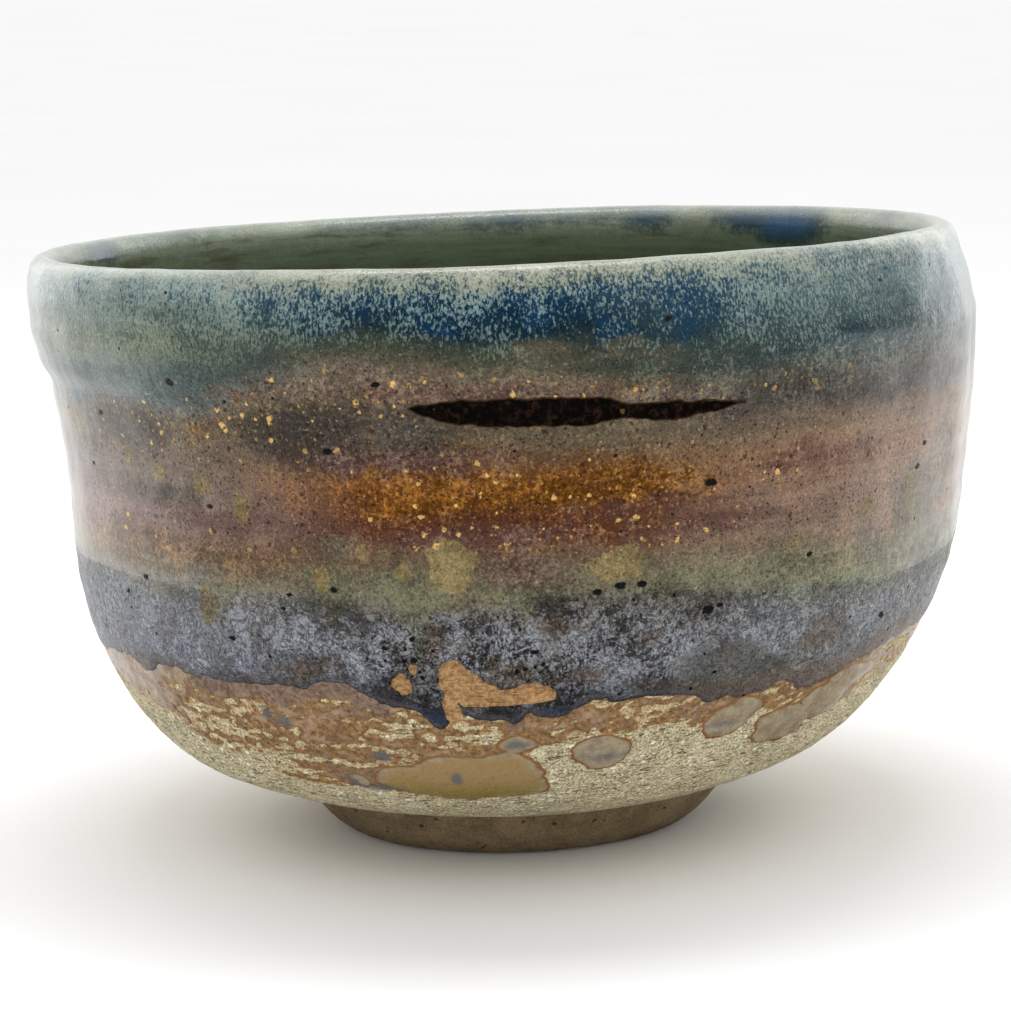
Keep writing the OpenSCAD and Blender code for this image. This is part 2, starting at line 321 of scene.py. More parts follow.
MAUVE = [
    (-12, 54.3, 12, 1.3), (0, 45.9, 11, 1.2), (24, 46.0, 8, 1.4), (-38, 46.6, 14, 1.5),
    (-6, 62.0, 9, 0.9), (16, 48.2, 9, 0.9), (2, 41.2, 4.5, 2.0), (38, 52, 10, 1.6), (90, 47, 12, 1.8),
    (-110, 53, 16, 1.8), (165, 47, 12, 1.5),
]
CALM = [
    (27, 28.2, 6.0, 3.4), (24, 26.6, 4.5, 1.8), (33, 27.4, 4.5, 2.0), (150, 30, 12, 3),
    (-125, 36, 12, 2),
]
INNER_DRIPS = [
    (133, 73.8, 8.5, 3.6), (141, 74.2, 6, 2.2), (157, 74.4, 4.5, 2.0), (179, 74.5, 6, 1.6),
    (170, 74.6, 13, 1.1), (-165, 74.7, 12, 1.1), (-109, 74.2, 6, 1.6), (-128, 74.9, 9, 0.9),
    (110, 74.8, 4, 1), (60, 73, 8, 3), (10, 73, 9, 3.4), (-30, 73.4, 7, 2.6), (-70, 73.2, 8, 3),
]

# The iron-black streak: [turn, height of its middle] and [turn, half height]
STREAK_MIDDLE = [(-11.5, 60.4), (-6, 59.8), (2, 59.6), (10, 59.4), (19, 58.9), (27.5, 59.2)]
STREAK_HALF = [
    (-11.5, 0.0), (-9.0, 0.75), (-6, 1.35), (2, 1.7), (9, 1.6), (14, 1.0), (20, 1.05), (27.5, 0.1),
]

# Where the collar has few crystals: turn, height and radius
DEEP_TEAL = [(7, 71.6, 7.5), (20.5, 69.0, 7.5), (-28, 72, 4)]

# Pits that burst through the glaze: turn, height and radius. They are wider than they are high
PIT_FLATNESS = 1.6
PITS = [
    (-40.7, 63.0, 0.75), (-14.1, 63.1, 0.5), (18.1, 68.9, 0.62), (49.1, 70.8, 0.42), (-37.5, 48.4, 0.55),
    (23.4, 50.3, 0.85), (23.6, 35.6, 0.75), (25.0, 36.0, 0.4), (-20.9, 39.4, 0.6), (-36.2, 32.9, 0.6),
    (-11.9, 31.4, 0.5), (-56.0, 36.4, 0.5), (-51.0, 38.8, 0.55), (2.7, 32.2, 0.55), (-26.9, 38.6, 0.42),
    (37.6, 40.5, 0.6), (58, 51.0, 0.6), (57, 48.3, 0.7), (12.6, 39.3, 0.8), (10.0, 38.8, 0.7),
    (15.2, 39.3, 0.7), (-62.0, 51.5, 0.6), (-57.0, 58.2, 0.5), (-20.5, 55.4, 0.6), (53.0, 31.0, 0.6),
    (0.3, 20.6, 0.4), (95, 62, 0.6), (120, 45, 0.7), (165, 55, 0.6), (-110, 60, 0.7), (-140, 48, 0.6),
    (-85, 40, 0.6), (150, 34, 0.7),
]


# Heights between one throwing ring and the next, outside and inside
RING_PITCH, INNER_PITCH = 4.6, 7.0


def relief(turn, h, p):
    """Unevenness of the thrown wall, in millimetres along its face."""
    on_wall = step(h, 7, 14)
    rings = np.sin(2 * np.pi * (h / RING_PITCH + turn / 360) + 1.4 * noise(p, 24, 1))
    rings *= step(h, 24, 32) * (0.5 + 0.5 * step(noise(p, 30, 2), -0.4, 0.6))
    collar = hump(h, 60.6, 1.5) * (0.4 + 0.6 * hump(apart(turn, -68), 0, 45))
    flutes = np.sin(np.radians(turn) * 27 + 2 * noise(p, 16, 3))
    flutes *= hump(apart(turn, 74), 0, 24) * step(h, 22, 34)
    crease = hump(apart(turn, 79), 0, 2.4) * hump(h, 62, 3.6)
    waves = 0.30 * noise(p, 21, 4) + 0.10 * noise(p, 6.5, 5) + 0.035 * noise(p, 2.4, 6)
    return on_wall * (0.075 * rings - 0.24 * collar + 0.10 * flutes - 0.42 * crease + waves)


def clay_relief(turn, h, p):
    """Tool marks and grit on the bare clay."""
    drags = noise(p, (7, 7, 0.55), 7) * 0.07 + noise(p, (2.2, 2.2, 0.5), 8) * 0.045
    return drags * step(h, 6.6, 8) * (1 - step(h, 27, 31))


def edge_distance(turn, h, p):
    """How far above the slate coat's ragged lower edge a place is."""
    edge = SLATE_H + wander(turn, SLATE_WAVE)
    for where, drop, half in EDGE_DRIPS:
        edge = edge - drop * hump(apart(turn, where), 0, half)
    return h - edge - 0.55 * noise(p, 4.2, 9) - 0.28 * noise(p, 1.5, 10)


def island_inside(turn, h, p):
    return blobs(turn, h, ISLANDS, 0.35 * noise(p, 1.7, 11) + 0.12)


def rise(x, reach):
    """0 at x = 0, and level at 1 a few reaches above it."""
    return 1 - np.exp(-np.maximum(x, 0) / reach)


# A bead runs along the slate coat's edge, and past it the coat dives under the clay
BEAD_T, BEAD_W, DIVE = 0.13, 0.25, 0.35


def slate_thickness(turn, h, p):
    """Thickness of the glaze above the foot. Below zero there is none."""
    d = edge_distance(turn, h, p)
    above = GLAZE_T * rise(d, 3.2) + BEAD_T * rise(d, BEAD_W)
    thick = np.where(d > 0, above, np.maximum(0.5 * d, -DIVE))
    hole = island_inside(turn, h, p)
    thick = thick + 0.08 * hump(hole, -0.6, 0.5) - 1.1 * step(hole, -0.3, 0.3)
    return np.clip(thick, -DIVE, None)


def wall_glaze(turn, h, p):
    """Thickness of the coats on the outside, with ridges where glaze gathered."""
    thick = slate_thickness(turn, h, p)
    gather = 0.10 * hump(h - RIM_H - wander(turn, RIM_WAVE), 1.6, 1.0)
    lumps = 0.07 * np.clip(noise(p, 3.2, 12, 2), -1, 1) + 0.05 * noise(p, 1.2, 13)
    gather = gather + lumps * (1 - step(h, 36, 41))
    runs = sum(0.10 * step(funnel(turn, h, f), -0.2, 0.8) for f in FUNNELS)
    return thick + (gather + runs) * step(thick, 0.1, 0.4)


# ---- The big grid: up the outside, over the lip and down to the middle of the floor ----

COLUMNS = 720
ROWS = {
    "bare": 72, "slate": 28, "amber": 56, "rim": 24, "lip": 18, "rim_in": 22, "well": 40, "floor": 48,
}
turns = np.linspace(-180, 180, COLUMNS, endpoint=False)
slate_border = SLATE_H + wander(turns, SLATE_WAVE)
amber_border = AMBER_H + wander(turns, AMBER_WAVE)
rim_border = RIM_H + wander(turns, RIM_WAVE)
liner_border = LINER_H + wander(turns, LINER_WAVE)


def rows_between(low, high, count, power=1.0):
    share = (np.arange(count) / count)[:, None] ** power
    low, high = np.broadcast_to(low, turns.shape), np.broadcast_to(high, turns.shape)
    return low * (1 - share) + high * share


outer_h = np.concatenate([
    rows_between(FOOT_H, slate_border, ROWS["bare"], 1.8),
    rows_between(slate_border, amber_border, ROWS["slate"]),
    rows_between(amber_border, rim_border, ROWS["amber"]),
    rows_between(rim_border, LIP_H, ROWS["rim"]),
])
lip_angle = (np.pi * np.arange(ROWS["lip"]) / ROWS["lip"])[:, None]
lip_h = np.broadcast_to(LIP_H + LIP_RISE * np.sin(lip_angle), (ROWS["lip"], COLUMNS))
lip_r = wall_radius(turns, np.full(COLUMNS, LIP_H)) - LIP_T / 2 * (1 - np.cos(lip_angle))
inner_h = np.concatenate([
    rows_between(LIP_H, liner_border, ROWS["rim_in"]),
    rows_between(liner_border, WELL_H, ROWS["well"]),
])
inner_r = wall_radius(turns, inner_h) - wall_thickness(inner_h)
floor_angle = np.radians(np.linspace(0, 89.6, ROWS["floor"] + 1))[:, None]
well_r = wall_radius(turns, np.full(COLUMNS, WELL_H)) - wall_thickness(WELL_H)
floor_h = WELL_H + (FLOOR_H - WELL_H) * np.sin(floor_angle) + 0 * turns

grid_h = np.concatenate([outer_h, lip_h, inner_h, floor_h])
grid_r = np.concatenate([wall_radius(turns, outer_h), lip_r, inner_r, well_r * np.cos(floor_angle)])
first = dict(zip(ROWS, np.cumsum([0, *ROWS.values()])[:-1]))
LAST = len(grid_h) - 1
inner_share = np.zeros(LAST + 1)
inner_share[first["lip"]:first["rim_in"]] = np.arange(ROWS["lip"]) / ROWS["lip"]
inner_share[first["rim_in"]:] = 1
inner_share = inner_share[:, None]


def grid_normals(p, wrap=True):
    """Which way each point of a grid of rows and columns faces."""
    if wrap:
        along = np.roll(p, -1, 1) - np.roll(p, 1, 1)
    else:
        along = np.gradient(p, axis=1)
    return unit(np.cross(along, np.gradient(p, axis=0)))


smooth_wall = place(turns, grid_r, grid_h)
facing = grid_normals(smooth_wall)
wall_turns = np.broadcast_to(turns, grid_h.shape)
outer_relief = relief(wall_turns, grid_h, smooth_wall)
spiral = (grid_h + grid_r * 0.5) / INNER_PITCH + wall_turns / 360
spiral = np.sin(2 * np.pi * spiral + noise(smooth_wall, 25, 21)) * step(grid_r, 3, 12)
inner_relief = 0.10 * spiral + 0.25 * noise(smooth_wall, 22, 22) + 0.05 * noise(smooth_wall, 5, 23)
uneven = outer_relief * (1 - inner_share) + inner_relief * inner_share
bare_marks = clay_relief(wall_turns, grid_h, smooth_wall) * (inner_share == 0)
clay = smooth_wall + (uneven[..., None] + bare_marks[..., None]) * facing

coat = np.where(inner_share > 0, GLAZE_T, wall_glaze(wall_turns, grid_h, smooth_wall))
inner_runs = blobs(wall_turns, grid_h, INNER_DRIPS, 0.3 * noise(smooth_wall, 3, 24))
coat = coat + 0.14 * step(inner_runs, -0.4, 0.6) * (inner_share == 1)
glaze = smooth_wall + (uneven + coat)[..., None] * facing

# ---- What the materials read at each point ----


def band_of(turn, h):
    """Height on the wall with the borders straightened out."""
    actual = [0 * turn, SLATE_H + wander(turn, SLATE_WAVE), AMBER_H + wander(turn, AMBER_WAVE),
              RIM_H + wander(turn, RIM_WAVE), LIP_H + 0 * turn]
    straight = [0, SLATE_H, AMBER_H, RIM_H, LIP_H]
    band = np.zeros_like(h)
    for low, high, a, b in zip(actual, actual[1:], straight, straight[1:]):
        share = (h - low) / (high - low)
        band = np.where(share >= 0, a + (b - a) * share, band)
    return band


# How much the band grows over the lip
LIP_BAND = 3.0
# The side colours begin and end about these turns, over this many degrees before and after them
LEFT_FROM, RIGHT_FROM, SIDES_END = -26, 25, 150
BEGIN_BLEND, END_BLEND = 15, 25
# Behind this turn the two sides mix at random
BEHIND = 105


def wall_fields(turn, h, p):
    """Places of the marks, as distances inside them, and how far the colours of each side reach."""
    blur = 7 * noise(p, 18, 31)
    left = step(-apart(turn, LEFT_FROM + blur), -BEGIN_BLEND, BEGIN_BLEND)
    left *= step(apart(turn, -SIDES_END + blur), -END_BLEND, END_BLEND)
    right = step(apart(turn, RIGHT_FROM + blur), -BEGIN_BLEND, BEGIN_BLEND)
    right *= step(-apart(turn, SIDES_END + blur), -END_BLEND, END_BLEND)
    back, behind = step(noise(p, 26, 32), -0.5, 0.5), np.abs(turn) > BEHIND
    left, right = np.where(behind, back, left), np.where(behind, 1 - back, right)
    rough_edge = 0.5 * noise(p, 3.2, 33) + 0.3 * noise(p, 1.3, 34)
    run = np.max([funnel(turn, h, f) for f in FUNNELS], axis=0) + rough_edge

    def inside(*marks):
        return np.stack([blobs(turn, h, places, blur * rough_edge) for places, blur in marks], -1)

    return {
        "sector": np.stack([left, right, run], -1),
        "marks": inside((OCHRE, 1.3), (SMOKE_AND_SHADE, 2), (GOLD, 1.6)),
        "tints": inside((BLUE_DRIPS, 0.6), (BROWN_FANS, 2), (MAUVE, 1.6)),
        "clouds": inside((OLIVE, 1.4), (CHARRED, 1.5), (CALM, 1.5)),
    }


grid_band = band_of(wall_turns, grid_h)
grid_band = np.where(inner_share > 0, LIP_H + LIP_BAND * inner_share, grid_band)
below_lip = np.concatenate([LIP_H - inner_h, LIP_H - WELL_H + (floor_angle * 45 + 0 * turns)])
grid_band[first["rim_in"]:] = LIP_H + LIP_BAND + below_lip
grid_fields = wall_fields(wall_turns, grid_h, smooth_wall)
grid_fields["band"] = grid_band
grid_fields["inner"] = np.stack([np.broadcast_to(inner_share, grid_h.shape), inner_runs,
                                 np.maximum(edge_distance(wall_turns, grid_h, smooth_wall), -FAR)], -1)


def wash_inside(turn, h, p):
    """How far inside the thin brown wash on the bare clay a place is."""
    low = wander(turn, WASH_LOW)
    wash = h - low - 0.8 * noise(p, 6, 41) - 0.5 * noise(p, 1.9, 42)
    torn = 0.8 * noise(p, (5.6, 5.6, 0.85), 43, 2) + 0.55 * noise(p, (1.3, 1.3, 0.42), 44)
    open_clay = 0.35 * hump(apart(turn, -5), 0, 10) * hump(h, 21.4, 1.6)
    open_clay = open_clay + 0.2 * hump(apart(turn, 16), 0, 9) + 0.3 * noise(p, 9, 48)
    open_clay = open_clay + 0.25 * step(-h, -23.5, -20) * step(-turn, 24, 38)
    open_clay = open_clay - 0.5 * step(edge_distance(turn, h, p), -2.6, -1.0) * step(-turn, 12, 22)
    return np.minimum(wash, (0.22 - torn - open_clay) * 1.5)


def pool_inside(turn, h, p):
    ragged = 0.35 * noise(p, 3.0, 45) + 0.16 * noise(p, 1.1, 46)
    return np.maximum(blobs(turn, h, POOLS, ragged), blobs(turn, h, RUNS, ragged))


# The stretch where the wash is reddish under the slate coat: turn and half width
REDDISH = (-31, 15)


def clay_fields(turn, h, p):
    wash, pool = wash_inside(turn, h, p), pool_inside(turn, h, p)
    off_stretch = np.abs(turn - REDDISH[0]) > REDDISH[1]
    return {
        "wash": np.stack([wash, pool, blobs(turn, h, BLUE_SPOTS, 0.25 * noise(p, 1.3, 47))], -1),
        "near": np.maximum(edge_distance(turn, h, p), -FAR) - FAR * off_stretch,
        "height": np.stack([h, step(island_inside(turn, h, p), -0.8, 0.0) * (np.abs(turn) < 25),
                            blobs(turn, h, POOLS)], -1),
    }


# ---- Mesh building ----


def add_mesh(name, points, faces, normals, fields):
    mesh = bpy.data.meshes.new(name)
    mesh.vertices.add(len(points))
    mesh.vertices.foreach_set("co", (points * MM).astype(np.float32).ravel())
    corners = np.concatenate([f.ravel() for f in faces])
    counts = np.concatenate([np.full(len(f), f.shape[1]) for f in faces])
    mesh.loops.add(len(corners))
    mesh.loops.foreach_set("vertex_index", corners.astype(np.int32))
    mesh.polygons.add(len(counts))
    starts = np.concatenate([[0], np.cumsum(counts)[:-1]])
    mesh.polygons.foreach_set("loop_start", starts.astype(np.int32))
    mesh.polygons.foreach_set("loop_total", counts.astype(np.int32))
    mesh.update(calc_edges=True)
    mesh.validate()
    mesh.shade_smooth()
    mesh.normals_split_custom_set_from_vertices(normals)
    for field, values in fields.items():
        kind, key = ("FLOAT", "value") if values.ndim == 1 else ("FLOAT_VECTOR", "vector")
        attribute = mesh.attributes.new(field, kind, "POINT")
        attribute.data.foreach_set(key, values.astype(np.float32).ravel())
    obj = bpy.data.objects.new(name, mesh)
    bpy.context.scene.collection.objects.link(obj)
    return obj


def no_corner_contacts(cells):
    """Fills in cells that would touch only at a corner."""
    cells = cells.copy()
    for _ in range(4):
        a, b = cells[:-1, :-1], cells[1:, 1:]
        c, d = cells[1:, :-1], cells[:-1, 1:]
        first_pair, second_pair = a & b & ~c & ~d, c & d & ~a & ~b
        if not (first_pair.any() or second_pair.any()):
            break
        cells[1:, :-1] |= first_pair
        cells[:-1, :-1] |= second_pair
    return cells


def slab(name, top, bottom, cells, fields, normals, wrap=True):
    """A closed solid between two grids, where cells says. With wrap it goes all round the bowl."""
    rows, columns = top.shape[:2]
    r, c = np.nonzero(cells)
    after = (c + 1) % columns if wrap else c + 1
    corner = [r * columns + c, r * columns + after, (r + 1) * columns + after, (r + 1) * columns + c]
    faces = [np.stack(corner, -1)]
    beneath = rows * columns
    faces.append(np.stack([x + beneath for x in corner[::-1]], -1))
    padded = np.pad(cells, ((1, 1), (0, 0)))
    sides = [~padded[r, c], None, ~padded[r + 2, c], None]
    if wrap:
        sides[1] = ~cells[r, (c + 1) % cells.shape[1]]
        sides[3] = ~cells[r, c - 1]
    else:
        wide = np.pad(cells, ((0, 0), (1, 1)))
        sides[1] = ~wide[r, c + 2]
        sides[3] = ~wide[r, c]
    for k, is_open in enumerate(sides):
        a, b = corner[k][is_open], corner[(k + 1) % 4][is_open]
        faces.append(np.stack([b, a, a + beneath, b + beneath], -1))
    faces = np.concatenate(faces)
    used, numbers = np.unique(faces, return_inverse=True)
    faces = numbers.reshape(faces.shape)
    points = np.concatenate([top.reshape(-1, 3), bottom.reshape(-1, 3)])[used]
    facing_out = np.concatenate([normals.reshape(-1, 3), -normals.reshape(-1, 3)])[used]
    both = {k: np.concatenate([v.reshape(beneath, *v.shape[2:])] * 2)[used] for k, v in fields.items()}
    return add_mesh(name, points, [faces], facing_out, both)


def shell(name, grid, fields, normals, ring=False):
    """A closed skin of rows round the axis. Each end closes on the axis, or the rows close in a ring."""
    rows, columns = grid.shape[:2]
    r = np.arange(rows if ring else rows - 1)[:, None]
    c = np.arange(columns)[None, :]
    up, after = (r + 1) % rows, (c + 1) % columns
    quads = np.stack(np.broadcast_arrays(r * columns + c, r * columns + after,
                                         up * columns + after, up * columns + c), -1).reshape(-1, 4)
    faces, points, out = [quads], [grid.reshape(-1, 3)], [normals.reshape(-1, 3)]
    values = {k: [v.reshape(rows * columns, *v.shape[2:])] for k, v in fields.items()}
    if not ring:
        j = np.arange(columns)
        k = (j + 1) % columns
        last = (rows - 1) * columns
        faces.append(np.stack([k, j, np.full(columns, rows * columns)], -1))
        faces.append(np.stack([last + j, last + k, np.full(columns, rows * columns + 1)], -1))
        for row in (0, rows - 1):
            points.append(grid[row].mean(0)[None])
            out.append(unit(normals[row].mean(0))[None])
            for key, v in fields.items():
                values[key].append(v[row].mean(0)[None])
    return add_mesh(name, np.concatenate(points), faces, np.concatenate(out),
                    {k: np.concatenate(v) for k, v in values.items()})


# How far the coats reach into the clay
COAT_BITE, SLATE_BITE = 0.12, 0.5


def coat_piece(name, top_row, end_row, bite=COAT_BITE, cells=None):
    """One glaze coat, from one row of the big grid to another."""
    rows = slice(top_row, end_row + 1)
    bottom = (clay - bite * facing)[rows]
    if cells is None:
        cells = np.ones((end_row - top_row, COLUMNS), bool)
    fields = {k: v[rows] for k, v in grid_fields.items()}
    return slab(name, glaze[rows], bottom, cells, fields, glaze_normals[rows])


glaze_normals = grid_normals(glaze)

# ---- Node trees ----


def paint(red, green, blue):
    """A colour given as it looks on a screen, 0 to 255, as Blender wants it."""
    def linear(x):
        x /= 255
        return x / 12.92 if x <= 0.04045 else ((x + 0.055) / 1.055) ** 2.4
    return (linear(red), linear(green), linear(blue), 1.0)


class Value:
    """A socket that +, -, * and / work on, each as a math node."""

    def __init__(self, graph, socket):
        self.graph, self.socket = graph, socket

    def __add__(self, other):
        return self.graph.math("ADD", self, other)

    def __sub__(self, other):
        return self.graph.math("SUBTRACT", self, other)

    def __rsub__(self, other):
        return self.graph.math("SUBTRACT", other, self)

    def __mul__(self, other):
        return self.graph.math("MULTIPLY", self, other)

    def __truediv__(self, other):
        return self.graph.math("DIVIDE", self, other)

    __radd__, __rmul__ = __add__, __mul__


class Graph:
    """Short calls that build a node tree. Sizes are in millimetres of the bowl."""

    def __init__(self, tree):
        self.tree = tree
        self.wobble = None
        metres = self.make("ShaderNodeTexCoord").outputs["Object"]
        self.at = self.vector("MULTIPLY", metres, (1 / MM,) * 3)

    def make(self, kind, **settings):
        node = self.tree.nodes.new(kind)
        for key, value in settings.items():
            setattr(node, key, value)
        return node

    def feed(self, socket, value):
        if isinstance(value, Value):
            value = value.socket
        if isinstance(value, bpy.types.NodeSocket):
            self.tree.links.new(value, socket)
        else:
            socket.default_value = value

    def node(self, kind, inputs, output=0, **settings):
        """Makes a node, feeds its inputs and gives back one output."""
        node = self.make(kind, **settings)
        for key, value in inputs.items():
            self.feed(node.inputs[key], value)
        return Value(self, node.outputs[output])

    def math(self, operation, *values, clamp=False):
        return self.node("ShaderNodeMath", dict(enumerate(values)), operation=operation, use_clamp=clamp)

    def max(self, a, b):
        return self.math("MAXIMUM", a, b)

    def vector(self, operation, *values, output=0):
        return self.node("ShaderNodeVectorMath", dict(enumerate(values)), output, operation=operation)

    def split(self, vector):
        node = self.make("ShaderNodeSeparateXYZ")
        self.feed(node.inputs[0], vector)
        return [Value(self, socket) for socket in node.outputs]

    def field(self, name):
        return self.node("ShaderNodeAttribute", {}, "Fac", attribute_name=name)

    def fields(self, name):
        return self.split(self.node("ShaderNodeAttribute", {}, "Vector", attribute_name=name))

    def stretched(self, stretch):
        """Where the place being coloured is, with Z squeezed so that features grow longer along it."""
        return self.at if stretch == 1 else self.vector("MULTIPLY", self.at, (1, 1, 1 / stretch))

    def noise(self, size, detail=2.0, roughness=0.5, distortion=0.0, stretch=1):
        """Noise from 0 to 1. stretch makes its features longer along Z."""
        return self.node("ShaderNodeTexNoise", {
            "Vector": self.stretched(stretch), "Scale": 1 / size, "Detail": detail,
            "Roughness": roughness, "Distortion": distortion,
        })

    def dots(self, size, radius, share, stretch=1):
        """Round dots: 1 inside. Only a share of the cells of that size hold one."""
        cells = self.make("ShaderNodeTexVoronoi", feature="F1")
        self.feed(cells.inputs["Vector"], self.stretched(stretch))
        self.feed(cells.inputs["Scale"], 1 / size)
        chance, growth, _ = self.split(cells.outputs["Color"])
        reach = (0.4 + growth * 0.8) * (radius / size)
        if self.wobble is None:
            self.wobble = self.noise(0.4, 2) - 0.5
        out = Value(self, cells.outputs["Distance"]) / reach + self.wobble * 1.8
        return self.step(out, 1.0, 0.65) * self.math("LESS_THAN", chance, share)

    def near(self, turn, h, flatness=1):
        """How far the place being coloured is from a point on the glazed wall."""
        turn, h = np.array(turn), np.array(h)
        away = self.vector("SUBTRACT", self.at, tuple(outside(turn, h) + GLAZE_T * outward(turn, h)))
        return self.vector("LENGTH", self.vector("MULTIPLY", away, (1, 1, flatness)), output="Value")

    def step(self, x, low, high):
        """0 on low's side, 1 on high's side, and smooth between."""
        ends = {"From Min": min(low, high), "From Max": max(low, high)}
        if low > high:
            ends.update({"To Min": 1, "To Max": 0})
        return self.node("ShaderNodeMapRange", {"Value": x, **ends}, interpolation_type="SMOOTHSTEP")

    def ramp(self, x, stops):
        """A colour or value that changes along x. stops is [(x, colour or value), ...]."""
        low, high = stops[0][0], stops[-1][0]
        node = self.make("ShaderNodeValToRGB")
        self.feed(node.inputs[0], (x - low) / (high - low))
        elements = node.color_ramp.elements
        while len(elements) < len(stops):
            elements.new(0.5)
        for element, (x_stop, _) in zip(elements, stops):
            element.position = (x_stop - low) / (high - low)
        for element, (_, value) in zip(elements, stops):
            element.color = value if isinstance(value, tuple) else (value, value, value, 1)
        return Value(self, node.outputs[0])

    def mix(self, share, a, b):
        return self.node("ShaderNodeMix", {0: share, 6: a, 7: b}, 2, data_type="RGBA")

    def brighter(self, color, factor):
        return self.node("ShaderNodeVectorMath", {0: color, "Scale": factor}, operation="SCALE")

    def bump(self, height, distance):
        inputs = {"Strength": 1.0, "Distance": distance * MM, "Height": height}
        return self.node("ShaderNodeBump", inputs)


# The clay near the foot is painted this much lighter, since it stands in the bowl's own shade
SHADE_LIFT = 1.28


def new_material(name):
    material = bpy.data.materials.new(name)
    material.use_nodes = True
    material.node_tree.nodes.clear()
    graph = Graph(material.node_tree)
    shader = graph.make("ShaderNodeBsdfPrincipled")
    output = graph.make("ShaderNodeOutputMaterial")
    graph.feed(output.inputs["Surface"], shader.outputs[0])
    return material, graph, shader


def colours(stops):
    """Stops of (x, red, green, blue) as stops of (x, colour)."""
    return [(x, paint(*rgb)) for x, *rgb in stops]


# Colours down the outside: the deep glass, and the pale crystals and clouds in it. Their last stops, on
# the lip, are the pale lip glaze with a painted highlight in it
FRONT_DEEP = colours([
    (22, 70, 60, 52), (24.6, 56, 58, 68), (26.5, 52, 50, 52), (30, 56, 55, 55), (34, 55, 54, 53),
    (36.8, 62, 59, 54), (38.6, 92, 86, 68), (41.0, 88, 78, 64), (43.6, 98, 70, 56), (46.2, 84, 48, 32),
    (48.4, 98, 58, 22), (51.5, 104, 64, 26), (53.6, 100, 72, 48), (55.6, 94, 82, 66), (58.5, 86, 78, 64),
    (60.6, 94, 80, 68), (62.4, 100, 88, 75), (63.6, 74, 74, 60), (65.2, 62, 68, 58), (66.4, 46, 58, 54),
    (67.6, 18, 40, 52), (71, 16, 48, 70), (72.8, 26, 62, 86), (73.6, 70, 88, 88), (74.1, 136, 142, 126),
])
FRONT_PALE = colours([
    (22, 110, 108, 104), (26, 100, 100, 108), (31, 158, 162, 171), (35.5, 142, 142, 146),
    (38.6, 120, 114, 90), (42, 118, 104, 82), (45, 126, 97, 73), (49, 172, 112, 40),
    (52.5, 158, 112, 62), (56, 116, 102, 78), (61, 138, 118, 98), (63.6, 112, 106, 84),
    (65.4, 104, 110, 92), (67, 96, 114, 110), (70, 110, 134, 136), (72.6, 130, 146, 140),
    (73.7, 150, 154, 136), (74.2, 160, 163, 147),
])
LEFT_DEEP = colours([
    (22, 120, 98, 78), (25.4, 112, 96, 88), (28, 128, 134, 146), (33, 132, 137, 146),
    (36.8, 132, 132, 131), (39.5, 106, 98, 88), (42.6, 102, 84, 68), (45.6, 140, 120, 111),
    (49.6, 130, 114, 106), (53.5, 110, 98, 88), (57, 106, 94, 80), (60.8, 92, 86, 76),
    (62.6, 74, 86, 86), (65, 74, 88, 86), (66.4, 84, 96, 84), (69, 78, 92, 82), (71.6, 70, 94, 94),
    (72.8, 62, 96, 112), (73.6, 88, 118, 130), (74.2, 138, 148, 140),
])
LEFT_PALE = colours([
    (22, 150, 134, 110), (27, 152, 158, 170), (35, 150, 154, 160), (39.5, 136, 122, 96),
    (42.8, 158, 124, 90), (47, 136, 108, 100), (54, 124, 108, 90), (58.5, 146, 122, 84),
    (62, 98, 110, 110), (65.6, 98, 110, 102), (67.6, 118, 124, 104), (71, 114, 128, 118),
    (73.2, 138, 151, 146), (74.2, 160, 168, 158),
])
RIGHT_DEEP = colours([
    (22, 128, 106, 84), (25.6, 112, 94, 84), (28.5, 112, 112, 110), (33, 129, 134, 142),
    (36.4, 120, 119, 116), (38.2, 106, 108, 90), (41, 106, 102, 86), (43.4, 130, 112, 98),
    (48, 134, 112, 98), (52.5, 134, 106, 84), (55.6, 118, 99, 82), (58.6, 78, 74, 72),
    (61.2, 72, 78, 76), (63.6, 52, 70, 74), (65.4, 48, 66, 72), (67.8, 70, 90, 92), (71, 78, 102, 107),
    (72.8, 70, 98, 112), (73.6, 98, 118, 122), (74.2, 138, 146, 138),
])
RIGHT_PALE = colours([
    (22, 166, 146, 116), (27, 140, 140, 138), (33, 150, 154, 160), (38.4, 136, 138, 108),
    (43, 146, 122, 100), (50, 154, 120, 90), (57, 116, 102, 86), (61.6, 110, 116, 104),
    (66, 110, 124, 120), (71.6, 124, 136, 128), (73.2, 142, 152, 142), (74.2, 160, 166, 154),
])
# Colours from the lip down the inside to the middle of the floor. The pale first stops are the lip glaze
# with a painted highlight, and the darkening below them down the inner wall is the green glaze with
# painted shade
INSIDE = colours([
    (73, 160, 164, 148), (76, 132, 142, 124), (77.6, 100, 112, 90), (81, 80, 92, 70), (86, 68, 84, 60),
    (96, 62, 78, 54), (125, 72, 86, 58), (160, 86, 98, 66), (200, 92, 102, 70),
])
# How much of the pale colour shows. It rises to all pale over the lip, which carries the painted
# highlight
PALE_SHARE = [
    (22, 0.3), (25, 0.15), (28, 0.53), (34, 0.6), (36.6, 0.5), (38.5, 0.55), (41.5, 0.45), (46, 0.22),
    (50, 0.36), (54, 0.4), (58.5, 0.3), (61.5, 0.42), (63.4, 0.35), (64.8, 0.3), (66, 0.34),
    (67.2, 0.34), (69.6, 0.38), (71.4, 0.46), (73, 0.5), (73.8, 0.6), (74.4, 0.8), (76, 1.0),
]


